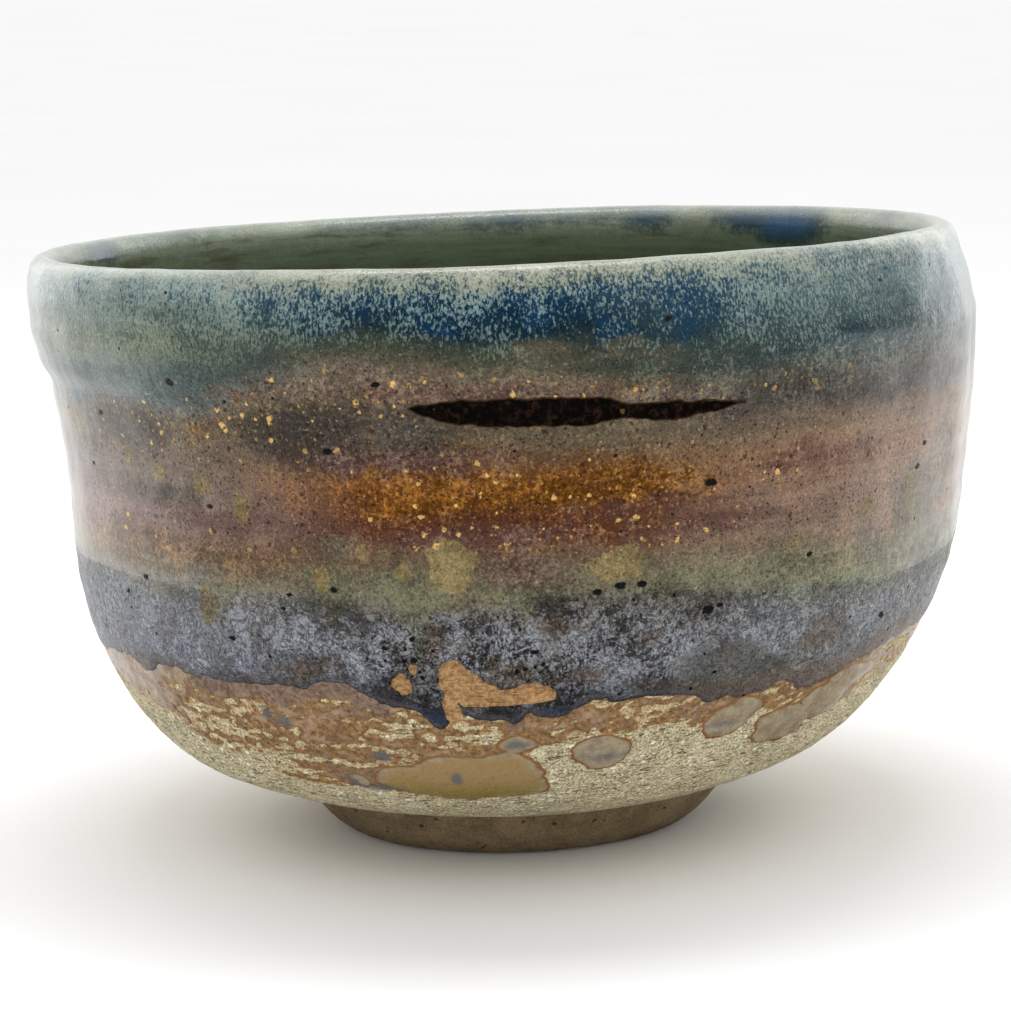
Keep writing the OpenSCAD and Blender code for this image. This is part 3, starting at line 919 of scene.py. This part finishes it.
def layered_glaze():
    """The node group that the four coats share, so that their colours run across the borders."""
    tree = bpy.data.node_groups.new("layered_glaze", "ShaderNodeTree")
    for name, kind in (("Color", "Color"), ("Roughness", "Float"), ("Height", "Float")):
        tree.interface.new_socket(name, in_out="OUTPUT", socket_type="NodeSocket" + kind)
    g = Graph(tree)
    left, right, run = g.fields("sector")
    ochre, smoke_and_shade, gold = g.fields("marks")
    olive, charred, calm = g.fields("clouds")
    blue_drip, fan, mauve = g.fields("tints")
    inner, inner_run, edge = g.fields("inner")

    # Small noises that roughen every border
    coarse = g.noise(5.0, 3, 0.55) - 0.5
    middling = g.noise(1.5, 3, 0.6) - 0.5
    fine = g.noise(0.42, 2, 0.6) - 0.5
    ragged = middling * 1.6 + fine * 1.3
    band = g.field("band") + coarse * 1.6 + ragged
    sway = g.noise(10.0, 3, 0.6, 0.3, stretch=0.4) - 0.5
    band = band + sway * g.step(band, 74.5, 68.0) * 5.0

    # Patterns: crystals on the collar, grains round the waist, clouds on the belly
    crystals = g.noise(0.31, 3, 0.62, 0.3, stretch=1.9)
    grains = g.noise(0.62, 5, 0.78)
    clouds = g.noise(2.6, 8, 0.72, 0.7)
    swirls = g.noise(1.3, 6, 0.74, 2.2)
    clouds = (clouds + (swirls - clouds) * 0.45) * 1.5 - 0.25
    comb = g.noise(0.36, 3, 0.65, 0.3, stretch=1.8)
    combed = 0.15 + g.step(g.noise(7.0, 2, 0.5), 0.42, 0.58) * 0.5
    clouds = clouds + (comb - clouds) * combed
    on_collar, on_belly = g.step(band, 63.6, 66.2), g.step(band, 39.0, 36.2)
    pattern = grains + (crystals - grains) * on_collar
    pattern = pattern + (clouds - pattern) * on_belly
    share = g.ramp(band, PALE_SHARE) + coarse * 0.9 + left * on_collar * 0.24
    for turn, h, radius in DEEP_TEAL:
        share = share - g.step(g.near(turn, h), radius, 0.4 * radius) * 0.13
    level = 0.68 - share * 0.36
    softness = 0.075 - on_collar * 0.025 - on_belly * 0.035
    pale = g.math("DIVIDE", pattern - (level - softness), softness * 2.0, clamp=True)

    def sides(front, on_left, on_right):
        color = g.mix(left, g.ramp(band, front), g.ramp(band, on_left))
        return g.mix(right, color, g.ramp(band, on_right))

    deep = sides(FRONT_DEEP, LEFT_DEEP, RIGHT_DEEP)
    light = sides(FRONT_PALE, LEFT_PALE, RIGHT_PALE)
    # Cobalt gathers in patches, and gives way to grey-green between them
    cobalt = g.step(g.noise(6.5, 2, 0.5), 0.5, 0.6)
    cobalt = cobalt * g.step(band, 66.5, 68) * g.step(band, 74, 72)
    cobalt = cobalt * (1.0 - g.max(left, right))
    deep = g.mix(cobalt * 0.7, deep, paint(12, 54, 86))

    # Marks, each with a ragged border
    def laid(color, mark, low, high, strength, tone, border=ragged):
        return g.mix(g.step(mark + border, low, high) * strength, color, tone)

    rich = 0.4 + g.step(band, 46.5, 48) * g.step(band, 54.5, 52.5) * 0.55
    patches = ragged + (g.noise(3.0, 6, 0.8, 0.5, stretch=0.6) - 0.55) * 14.0
    for mark, border, low, high, deep_share, deep_tone, light_share, light_tone in (
        (olive, ragged, -0.3, 1.0, 0.7, paint(90, 86, 70), 0.7, paint(124, 120, 98)),
        # Smoky grey glaze, and the painted shade below the iron-black streak's left end
        (smoke_and_shade, ragged, -1.6, 1.8, 0.92, paint(62, 57, 52), 0.9, paint(94, 86, 78)),
        (gold, patches, -0.6, 1.0, rich, paint(79, 48, 12), rich, paint(132, 87, 28)),
        (mauve, ragged, -0.8, 1.0, 0.6, paint(84, 56, 52), 0.7, paint(128, 104, 96)),
        (run, ragged, -0.5, 0.5, 0.6, paint(94, 94, 74), 0.7, paint(122, 122, 96)),
        (ochre, ragged, -0.15, 0.25, 0.85, paint(122, 106, 70), 0.9, paint(146, 130, 90)),
    ):
        deep = laid(deep, mark, low, high, deep_share, deep_tone, border)
        light = laid(light, mark, low, high, light_share, light_tone, border)
    deep = laid(deep, charred, -1.0, 0.8, 0.8, paint(36, 33, 32))
    light = laid(light, charred, -1.0, 1.2, 0.45, paint(104, 104, 106))
    deep = laid(deep, calm, -1.0, 1.0, 0.7, paint(70, 69, 62))
    light = laid(light, calm, -1.0, 1.0, 0.8, paint(90, 90, 84))
    color = g.mix(pale, deep, light)
    rust = g.step(g.noise(5.5, 4, 0.6, 0.6), 0.5, 0.64) * on_belly
    color = g.mix(rust * 0.42, color, paint(104, 94, 82))
    color = laid(color, fan, -0.6, 0.8, 0.6, paint(104, 86, 64))

    # Dark threads between the clouds of the belly
    thread = g.noise(1.9, 6, 0.65, 1.6)
    thread = g.step(g.math("ABSOLUTE", thread - 0.5), 0.034, 0.008) * on_belly
    thread = thread * (0.6 + g.step(charred, -1.5, 0.5) * 0.3) * g.step(calm, 1.0, -1.0)
    color = g.mix(thread, color, paint(34, 32, 32))

    # Yellow and orange specks of iron round the waist
    waist = g.step(band, 41.5, 44.5) * g.step(band, 64.0, 61.5)
    richness = 0.3 + g.step(gold, -2.5, 0.5) * 0.65
    small = g.dots(0.85, 0.23, 0.75) * waist * richness
    color = g.mix(small * 0.75, color, paint(186, 138, 72))
    large = g.dots(1.7, 0.40, 0.8) * waist * g.step(gold, -4.0, -0.5)
    color = g.mix(large * 0.9, color, paint(222, 182, 108))
    specks = g.max(small, large)
    freckles = g.max(g.dots(0.72, 0.2, 0.75), g.dots(1.4, 0.34, 0.45)) * waist
    color = g.mix(freckles * 0.72, color, paint(50, 34, 30))

    # Pepper and salt
    outer = 1.0 - inner
    pepper = g.dots(0.56, 0.18, 0.8) * outer
    color = g.mix(pepper * (0.5 - on_collar * 0.25), color, paint(34, 30, 28))
    salt = g.dots(0.66, 0.17, 0.6) * g.math("SUBTRACT", outer, on_collar, clamp=True)
    color = g.mix(salt * 0.22, color, paint(196, 182, 156))

    # Inside
    within = g.ramp(band, INSIDE)
    streaks = g.noise(9.0, 4, 0.6, 0.4, stretch=0.16)
    within = g.mix(g.step(streaks, 0.52, 0.66) * 0.5, within, paint(78, 70, 52))
    within = g.mix(g.step(streaks, 0.44, 0.30) * 0.16, within, paint(118, 130, 104))
    blue = g.step(inner_run + ragged * 1.1, -0.8, 1.1)
    deep_blue = g.mix(g.step(inner_run, 0.2, 2.6), paint(34, 62, 74), paint(44, 80, 120))
    within = g.mix(blue * 0.86, within, deep_blue)
    color = g.mix(g.step(inner, 0.45, 1.0), color, within)

    # The edge over the bare clay is dark and thick, but thins out to brown on the right
    thin = right * g.step(edge + ragged, 4.2, 1.2)
    color = g.mix(thin * g.step(inner, 0.5, 0.2) * 0.6, color, paint(128, 110, 96))
    bead = g.step(edge, 1.5, 0.5) * g.step(inner, 0.5, 0.2) * (1.0 - right * 0.7)
    bead_color = g.mix(g.step(edge, 0.1, 0.7), paint(52, 50, 56), paint(94, 96, 104))
    color = g.mix(bead * 0.7, color, bead_color)
    color = g.mix(g.step(blue_drip, -0.3, 0.4) * 0.75, color, paint(56, 68, 90))

    # Pits
    pits = g.max(g.dots(3.0, 0.26, 0.3), g.dots(2.2, 0.32, 0.6) * on_belly)
    cluster = g.dots(1.05, 0.34, 0.8) * g.step(charred, -1.6, 0.2)
    pits = g.max(pits, cluster) * g.step(inner, 0.5, 0.1)
    for turn, h, radius in PITS:
        wobble = g.near(turn, h, PIT_FLATNESS) + ragged * 0.55
        pits = g.max(pits, g.step(wobble, radius, radius * 0.7))
    color = g.mix(pits, color, paint(24, 22, 20))

    # Grain that the eye reads as depth
    grit = g.noise(0.26, 3, 0.75) - 0.5
    lumps = (g.noise(0.8, 4, 0.7, 0.8) - 0.5) * (0.7 + on_belly * 0.8)
    stripes = (g.noise(11.0, 4, 0.6, 0.2, stretch=0.075) - 0.5) * (0.3 + g.max(left, right) * 0.6)
    brighter = coarse * 0.5 + 1.0 + grit * (2.4 + on_belly * 0.6) * (1.0 - inner * 0.75)
    brighter = brighter + lumps * outer + stripes * (1.0 - on_belly * 0.8)
    color = g.brighter(color, brighter)

    roughness = 0.12 + on_belly * 0.16 + pale * on_belly * 0.10 + pits * 0.4
    height = lumps + middling * 0.8 + pattern * 0.5 - pits * 2.4 - thread * 0.3 + specks * 0.25

    out = g.make("NodeGroupOutput")
    for name, value in (("Color", color), ("Roughness", roughness), ("Height", height)):
        g.feed(out.inputs[name], value)
    return tree


def coat_material(name, group, bump_mm):
    material, g, shader = new_material(name)
    layers = g.make("ShaderNodeGroup")
    layers.node_tree = group
    g.feed(shader.inputs["Base Color"], layers.outputs["Color"])
    g.feed(shader.inputs["Roughness"], layers.outputs["Roughness"])
    g.feed(shader.inputs["Normal"], g.bump(layers.outputs["Height"], bump_mm))
    shader.inputs["IOR"].default_value = 1.5
    return material


def bare_clay_color(g):
    """Sandy clay: pale, with white grit and dark drag marks."""
    base = g.mix(g.step(g.noise(3.0, 4, 0.6), 0.35, 0.65), paint(158, 146, 114), paint(190, 180, 148))
    sand = g.noise(0.30, 3, 0.75)
    base = g.mix(g.step(sand, 0.52, 0.61), base, paint(222, 212, 180))
    base = g.mix(g.step(sand, 0.48, 0.38), base, paint(112, 98, 66))
    dark = g.step(g.noise(2.0, 4, 0.7, 0.2, stretch=0.13), 0.585, 0.64)
    base = g.mix(dark * 0.8, base, paint(84, 70, 46))
    grit = g.dots(1.2, 0.38, 0.6)
    base = g.mix(grit * 0.85, base, paint(236, 230, 208))
    holes = g.dots(1.6, 0.32, 0.55, stretch=0.5)
    base = g.mix(holes * 0.8, base, paint(70, 60, 42))
    return base, sand, dark, grit, holes


def thin_glaze_color(g, base, border):
    """Brown wash, olive pools and blue spots over the clay."""
    wash, pool, blue = g.fields("wash")
    h, island, deep_pool = g.fields("height")
    wash = wash + border
    pool = pool + border * 0.5
    mottle = g.noise(2.0, 4, 0.6)
    small = g.noise(0.6, 4, 0.75)
    brown = g.mix(g.step(mottle, 0.40, 0.60), paint(112, 88, 68), paint(152, 128, 102))
    dusk = g.step(g.noise(5.0, 3, 0.6), 0.5, 0.64)
    brown = g.mix(dusk * 0.6, brown, paint(116, 104, 92))
    brown = g.mix(g.step(small, 0.46, 0.36) * 0.6, brown, paint(84, 58, 40))
    base = g.mix(g.step(wash, -0.7, 0.0) * 0.55, base, paint(182, 150, 96))
    rust = g.mix(g.step(small, 0.4, 0.6), paint(98, 72, 46), paint(142, 110, 74))
    base = g.mix(g.step(wash, -0.18, 0.12) * 0.95, base, rust)
    base = g.mix(g.step(wash, 0.2, 0.8), base, brown)
    reddish = g.mix(g.step(small, 0.4, 0.6), paint(94, 72, 62), paint(122, 106, 93))
    under_slate = g.step(g.field("near") + border, -2.0, -0.9)
    base = g.mix(under_slate * 0.85, base, reddish)
    tan = g.mix(g.step(small, 0.36, 0.62), paint(134, 98, 60), paint(180, 140, 92))
    base = g.mix(island, base, tan)
    glass = g.mix(g.step(mottle, 0.35, 0.65), paint(126, 111, 90), paint(148, 136, 114))
    olive = g.mix(g.step(h, 16.6, 12.6), paint(142, 118, 80), paint(120, 104, 52))
    olive = g.mix(g.step(small, 0.44, 0.34) * 0.5, olive, paint(92, 72, 44))
    glass = g.mix(g.step(deep_pool, -0.2, 0.9), glass, olive)
    base = g.mix(g.step(pool, -0.12, 0.06), base, paint(118, 80, 42))
    base = g.mix(g.step(pool, 0.02, 0.3), base, glass)
    base = g.mix(g.step(blue, -0.35, 0.4) * 0.8, base, paint(82, 87, 92))
    return base, wash


def stoneware_material():
    material, g, shader = new_material("bare_stoneware")
    base, sand, dark, grit, holes = bare_clay_color(g)
    border = (g.noise(0.8, 4, 0.65) - 0.5) * 2.2
    base, wash = thin_glaze_color(g, base, border)
    pores = g.dots(2.0, 0.26, 0.3)
    base = g.mix(pores * 0.7, base, paint(58, 44, 30))
    g.feed(shader.inputs["Base Color"], g.brighter(base, SHADE_LIFT))
    shiny = g.step(wash, 0.0, 0.6)
    g.feed(shader.inputs["Roughness"], 0.85 - shiny * 0.35)
    height = (grit * 0.5 + sand * 0.8 - dark * 0.7 - holes * 1.2) * (1.0 - shiny * 0.6)
    g.feed(shader.inputs["Normal"], g.bump(height, 0.3))
    return material


def run_glaze_material():
    material, g, shader = new_material("run_glaze")
    border = (g.noise(0.8, 4, 0.65) - 0.5) * 0.4
    base, _ = thin_glaze_color(g, paint(128, 84, 46), border)
    grain = g.noise(0.5, 3, 0.6)
    base = g.mix(g.step(grain, 0.56, 0.7) * 0.25, base, paint(168, 140, 98))
    base = g.mix(g.dots(2.4, 0.24, 0.3) * 0.8, base, paint(40, 34, 26))
    g.feed(shader.inputs["Base Color"], g.brighter(base, SHADE_LIFT))
    g.feed(shader.inputs["Roughness"], 0.16 + grain * 0.2)
    g.feed(shader.inputs["Normal"], g.bump(grain, 0.05))
    return material


def foot_material():
    material, g, shader = new_material("foot_clay")
    cloud = g.noise(4.0, 4, 0.6)
    sand = g.noise(0.34, 3, 0.7)
    # Its colours are painted lighter, as painted light that makes up for the shade under the bowl
    base = g.mix(g.step(cloud, 0.35, 0.65), paint(118, 98, 68), paint(142, 122, 90))
    base = g.mix(g.step(sand, 0.54, 0.7) * 0.6, base, paint(176, 158, 124))
    base = g.mix(g.step(sand, 0.46, 0.34) * 0.7, base, paint(84, 66, 42))
    iron = g.dots(1.5, 0.3, 0.5)
    base = g.mix(iron * 0.85, base, paint(46, 34, 22))
    rings = g.noise(1.6, 3, 0.6, 0.1, stretch=0.12)
    g.feed(shader.inputs["Base Color"], base)
    shader.inputs["Roughness"].default_value = 0.82
    height = iron * -0.6 + sand * 0.7 + rings * 0.6
    g.feed(shader.inputs["Normal"], g.bump(height, 0.28))
    return material


def streak_material():
    material, g, shader = new_material("iron_black")
    depth = g.field("depth")
    mottle = g.noise(0.9, 5, 0.7, 0.4)
    core = g.mix(g.step(mottle, 0.48, 0.68), paint(9, 7, 6), paint(44, 28, 20))
    edge = depth + (mottle - 0.5) * 0.16
    color = g.mix(g.step(edge, 0.02, 0.12), paint(66, 52, 34), core)
    specks = g.dots(1.6, 0.3, 0.35) * g.step(g.noise(5.0, 2), 0.46, 0.62)
    color = g.mix(specks * 0.6, color, paint(112, 84, 48))
    g.feed(shader.inputs["Base Color"], color)
    shader.inputs["Roughness"].default_value = 0.07
    g.feed(shader.inputs["Normal"], g.bump(mottle, 0.05))
    return material


# ---- The pieces ----


def finish_piece(piece, node, material):
    piece.data.materials.append(material)
    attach(piece, "root")
    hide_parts(node)


group = layered_glaze()
finish_piece(coat_piece("rim_glaze_coat", first["rim"], first["well"]), "rim_glaze",
             coat_material("rim_blue", group, 0.08))
finish_piece(coat_piece("amber_glaze_coat", first["amber"], first["rim"]), "amber_glaze",
             coat_material("amber", group, 0.08))


def liner_piece():
    """The coat inside, closed on the axis above and below."""
    rows, skip = slice(first["well"], LAST + 1), slice(None, None, 2)

    def there_and_back(below, above):
        return np.concatenate([below[rows, skip][::-1], above[rows, skip]])

    fields = {k: there_and_back(v, v) for k, v in grid_fields.items()}
    return shell("liner_glaze_coat", there_and_back(clay - COAT_BITE * facing, glaze), fields,
                 there_and_back(-facing, glaze_normals))


finish_piece(liner_piece(), "liner_glaze", coat_material("liner_green", group, 0.05))

# The slate coat may run this many rows below its border, as far as it has any thickness
SLATE_ROWS_BELOW = 22


def slate_piece():
    low = first["slate"] - SLATE_ROWS_BELOW
    cover = coat[low:first["amber"] + 1] > -COAT_BITE
    cells = cover[:-1] | cover[1:]
    cells = no_corner_contacts(cells | np.roll(cells, -1, 1))
    return coat_piece("slate_glaze_coat", low, first["amber"], SLATE_BITE, cells)


finish_piece(slate_piece(), "slate_glaze", coat_material("slate", group, 0.34))

# Rows of the clay kept above the slate border, then every so many rows where the coats hide it
ROWS_ABOVE, HIDDEN_STEP_OUT, HIDDEN_STEP_IN = 16, 12, 7


def clay_piece():
    """The thrown body: its underside, its bare foot end, and the wall that the coats hide."""
    nub_r = np.linspace(0.4, NUB_R, 6)
    hollow_r = np.linspace(NUB_R, FOOT_TOP_R + 0.2, 17)[1:]
    under_r = np.concatenate([nub_r, hollow_r])[:, None]
    nub = -NUB_H * (1 - np.minimum(under_r / NUB_R, 1) ** 2)
    under_h = FOOT_H + nub + 0 * turns
    under = place(turns, under_r + 0 * turns, under_h)
    chatter = 0.06 * np.sin(2 * np.pi * (under_r + turns / 360) / RING_PITCH)
    chatter = chatter + 0.05 * noise(under, 2.5, 51)
    under[..., 2] += chatter * step(HOLLOW_R - under_r, 0, 1) * step(under_r, 1, 3)
    near_border = first["slate"] + ROWS_ABOVE
    hidden_out = np.arange(near_border, first["well"], HIDDEN_STEP_OUT)
    hidden_in = np.arange(first["well"], LAST, HIDDEN_STEP_IN)
    rows = np.concatenate([np.arange(near_border), hidden_out, hidden_in, [LAST]])
    grid = np.concatenate([under, clay[rows]])
    h = np.concatenate([under_h, grid_h[rows]])
    down = np.broadcast_to([0.0, 0.0, -1.0], under.shape)
    normals = np.concatenate([down, grid_normals(clay)[rows]])
    fields = clay_fields(np.broadcast_to(turns, h.shape), h, grid)
    hidden_rows = np.concatenate([np.ones(len(under), bool), inner_share[rows, 0] > 0])
    for name, values in fields.items():
        values[hidden_rows] = [-FAR, 0, -FAR] if name == "height" else -FAR
    return shell("stoneware_body", grid, fields, normals)


finish_piece(clay_piece(), "clay_body", stoneware_material())


def ring_normals(p):
    return unit(np.cross(np.roll(p, -1, 1) - np.roll(p, 1, 1), np.roll(p, -1, 0) - np.roll(p, 1, 0)))


def foot_piece():
    """The turned foot ring, with soft corners and faint turning marks."""
    flare = FOOT_TOP_R - FOOT_BASE_R
    inner_base = FOOT_BASE_R - FOOT_LEDGE
    q = np.linspace(0.05, 1, 26)
    corner = np.linspace(0, np.pi / 2, 6)
    parts = [
        np.stack([np.linspace(inner_base + 0.5, FOOT_BASE_R - 0.5, 12), np.zeros(12)], -1),
        np.stack([FOOT_BASE_R - 0.45 + 0.45 * np.sin(corner), 0.45 - 0.45 * np.cos(corner)], -1),
        np.stack([FOOT_BASE_R + flare * q**0.6, FOOT_H * q], -1),
        np.stack([np.linspace(FOOT_TOP_R - 0.4, HOLLOW_R, 14), np.full(14, FOOT_H)], -1),
        np.stack([np.linspace(HOLLOW_R, inner_base - 0.3, 20), np.linspace(FOOT_H - 0.3, 0.4, 20)], -1),
    ]
    profile = np.concatenate(parts)
    r, z = profile[:, :1], profile[:, 1:]
    t = np.radians(turns)
    grid = np.stack(np.broadcast_arrays(r * np.sin(t), -r * np.cos(t), z), -1)
    free = step(z, 0.02, 0.8) * step(FOOT_H - z, 0.0, 0.5)
    marks = 0.10 * noise(grid, 9, 61) + 0.05 * noise(grid, (5, 5, 0.7), 62) + 0.03 * noise(grid, 1.2, 63)
    grid = grid + (marks * free)[..., None] * ring_normals(grid)
    return shell("turned_foot_ring", grid, {}, ring_normals(grid), ring=True)


finish_piece(foot_piece(), "foot_ring", foot_material())


def patch_grid(turn_low, turn_high, h_low, h_high, cell):
    """A fine grid over part of the wall."""
    columns = int((turn_high - turn_low) / cell) + 1
    rows = int((h_high - h_low) / cell) + 1
    turn, h = np.meshgrid(np.linspace(turn_low, turn_high, columns), np.linspace(h_low, h_high, rows))
    return turn, h, outside(turn, h), outward(turn, h)


def streak_piece():
    """The long iron-black streak: pointed on the left, ragged below."""
    turn, h, p, out = patch_grid(-13, 29, 56, 63.4, 0.2)
    along = (turn - STREAK_MIDDLE[0][0]) / (STREAK_MIDDLE[-1][0] - STREAK_MIDDLE[0][0])
    middle, half = wander(turn, STREAK_MIDDLE), wander(turn, STREAK_HALF)
    inside = half - np.abs(h - middle) + 0.28 * noise(p, 2.6, 71) + 0.13 * noise(p, 0.9, 72)
    inside = np.where((along < 0) | (along > 1), -1.0, inside)
    thick = np.where(inside > 0, 0.30 * rise(inside, 0.45), 0.4 * np.maximum(inside, -0.5))
    under = relief(turn, h, p) + wall_glaze(turn, h, p)
    top = p + (under + thick)[..., None] * out
    bottom = p + (under - 0.3)[..., None] * out
    cover = thick > -0.06
    cells = no_corner_contacts(cover[:-1, :-1] | cover[1:, :-1] | cover[:-1, 1:] | cover[1:, 1:])
    normals = grid_normals(top, wrap=False)
    return slab("iron_streak_pool", top, bottom, cells, {"depth": thick}, normals, wrap=False)


finish_piece(streak_piece(), "iron_streak", streak_material())


def splash_piece():
    """Thin glaze that ran onto the bare clay."""
    rows = slice(int(ROWS["bare"] * 0.28), first["slate"] + 6)
    turn, h, p, out = wall_turns[rows], grid_h[rows], smooth_wall[rows], facing[rows]
    pool, wash = pool_inside(turn, h, p), wash_inside(turn, h, p)
    swell = np.maximum(0.30 * rise(pool, 0.5) + np.minimum(0.3 * pool, 0),
                       0.13 * rise(wash, 0.4) + np.minimum(0.3 * wash, 0))
    swell = np.minimum(swell, 0.3 - 0.6 * step(edge_distance(turn, h, p), 0.2, 1.6))
    thick = np.maximum(swell, -0.3)
    under = uneven[rows] + 0.5 * bare_marks[rows]
    top = p + (under + thick)[..., None] * out
    bottom = p + (under - 0.6)[..., None] * out
    cover = thick > -0.1
    cells = cover[:-1] | cover[1:]
    cells = no_corner_contacts(cells | np.roll(cells, -1, 1))
    fields = clay_fields(turn, h, p)
    return slab("run_glaze_pools", top, bottom, cells, fields, grid_normals(top))


finish_piece(splash_piece(), "glaze_splashes", run_glaze_material())

# ---- Floor, light and camera ----

width = cad_high.x - cad_low.x
FLOOR_R = 60
# The dark card: its radius and top, and how far round it lies and stands to each side, in degrees
CARD_R, CARD_TOP = 7.0, 5.0
CARD_LYING, CARD_STANDING = 84, 112


def floor_piece():
    bpy.ops.mesh.primitive_circle_add(vertices=96, radius=FLOOR_R * width, fill_type="NGON")
    floor = bpy.context.object
    floor.name = "studio_floor"
    material, g, shader = new_material("pale_floor")
    tone = g.noise(180.0, 2)
    g.feed(shader.inputs["Base Color"], g.mix(tone, paint(246, 246, 246), paint(251, 251, 251)))
    shader.inputs["Roughness"].default_value = 0.9
    shader.inputs["Specular IOR Level"].default_value = 0.0
    floor.data.materials.append(material)


def softbox(name, place_at, look_at, size, radiance):
    """A soft light that the camera doesn't see. Places are in bowl widths."""
    light = bpy.data.lights.new(name, "AREA")
    light.shape = "RECTANGLE"
    light.size, light.size_y = (s * width for s in size)
    light.energy = radiance * math.pi * light.size * light.size_y
    lamp = bpy.data.objects.new(name, light)
    bpy.context.scene.collection.objects.link(lamp)
    lamp.location = Vector(place_at) * width
    lamp.rotation_euler = (Vector(look_at) * width - lamp.location).to_track_quat("-Z", "Y").to_euler()
    lamp.visible_camera = False


def flag():
    """A dark card in front, that only reflections see, as a photographer sets one against glare."""
    mesh = bpy.data.meshes.new("dark_card")
    low, high = 0.004 * width, CARD_TOP * width
    count = 41

    def arc(reach, z):
        angles = np.radians(np.linspace(-reach, reach, count))
        return [(CARD_R * width * math.sin(a), -CARD_R * width * math.cos(a), z) for a in angles]

    points = [(0, 0, low)] + arc(CARD_LYING, low) + arc(CARD_STANDING, low) + arc(CARD_STANDING, high)
    lying = [(0, k + 1, k + 2) for k in range(count - 1)]
    feet = range(count + 1, 2 * count)
    standing = [(k, k + 1, k + 1 + count, k + count) for k in feet]
    mesh.from_pydata(points, [], lying + standing)
    card = bpy.data.objects.new("dark_card", mesh)
    bpy.context.scene.collection.objects.link(card)
    material, g, shader = new_material("dark_card")
    shader.inputs["Base Color"].default_value = paint(30, 30, 30)
    shader.inputs["Roughness"].default_value = 1.0
    shader.inputs["Specular IOR Level"].default_value = 0.0
    card.data.materials.append(material)
    for ray in ("camera", "diffuse", "transmission", "shadow", "volume_scatter"):
        setattr(card, "visible_" + ray, False)


floor_piece()
flag()
for name, side in (("side_left", -1), ("side_right", 1)):
    softbox(name, (2.5 * side, 2.8, 1.5), (0, 0, 0.4), (2.2, 3.0), 1.0)
softbox("overhead", (0, 0.4, 4.5), (0, 0, 0.6), (2.6, 1.1), 8.0)

world = bpy.data.worlds.new("pale_room")
world.use_nodes = True
world.node_tree.nodes["Background"].inputs["Color"].default_value = (1, 1, 1, 1)
world.node_tree.nodes["Background"].inputs["Strength"].default_value = 1.0
bpy.context.scene.world = world
bpy.context.scene.view_settings.view_transform = "Standard"


def add_camera():
    """Just above the rim's level, a little rolled, with a long lens."""
    elevation, roll = math.radians(9.5), math.radians(1.8)
    target = Vector((-0.0026, 0, 0.336)) * width
    distance = 3.737 * width
    back = Vector((0, -math.cos(elevation), math.sin(elevation)))
    right, up = Vector((1, 0, 0)), Vector((0, math.sin(elevation), math.cos(elevation)))
    cos, sin = math.cos(roll), math.sin(roll)
    right, up = right * cos - up * sin, right * sin + up * cos
    data = bpy.data.cameras.new("camera")
    data.sensor_width = 36
    data.lens = 123.5
    camera = bpy.data.objects.new("camera", data)
    bpy.context.scene.collection.objects.link(camera)
    turned = Matrix((right, up, back)).transposed().to_4x4()
    camera.matrix_world = Matrix.Translation(target + back * distance) @ turned
    bpy.context.scene.camera = camera


add_camera()
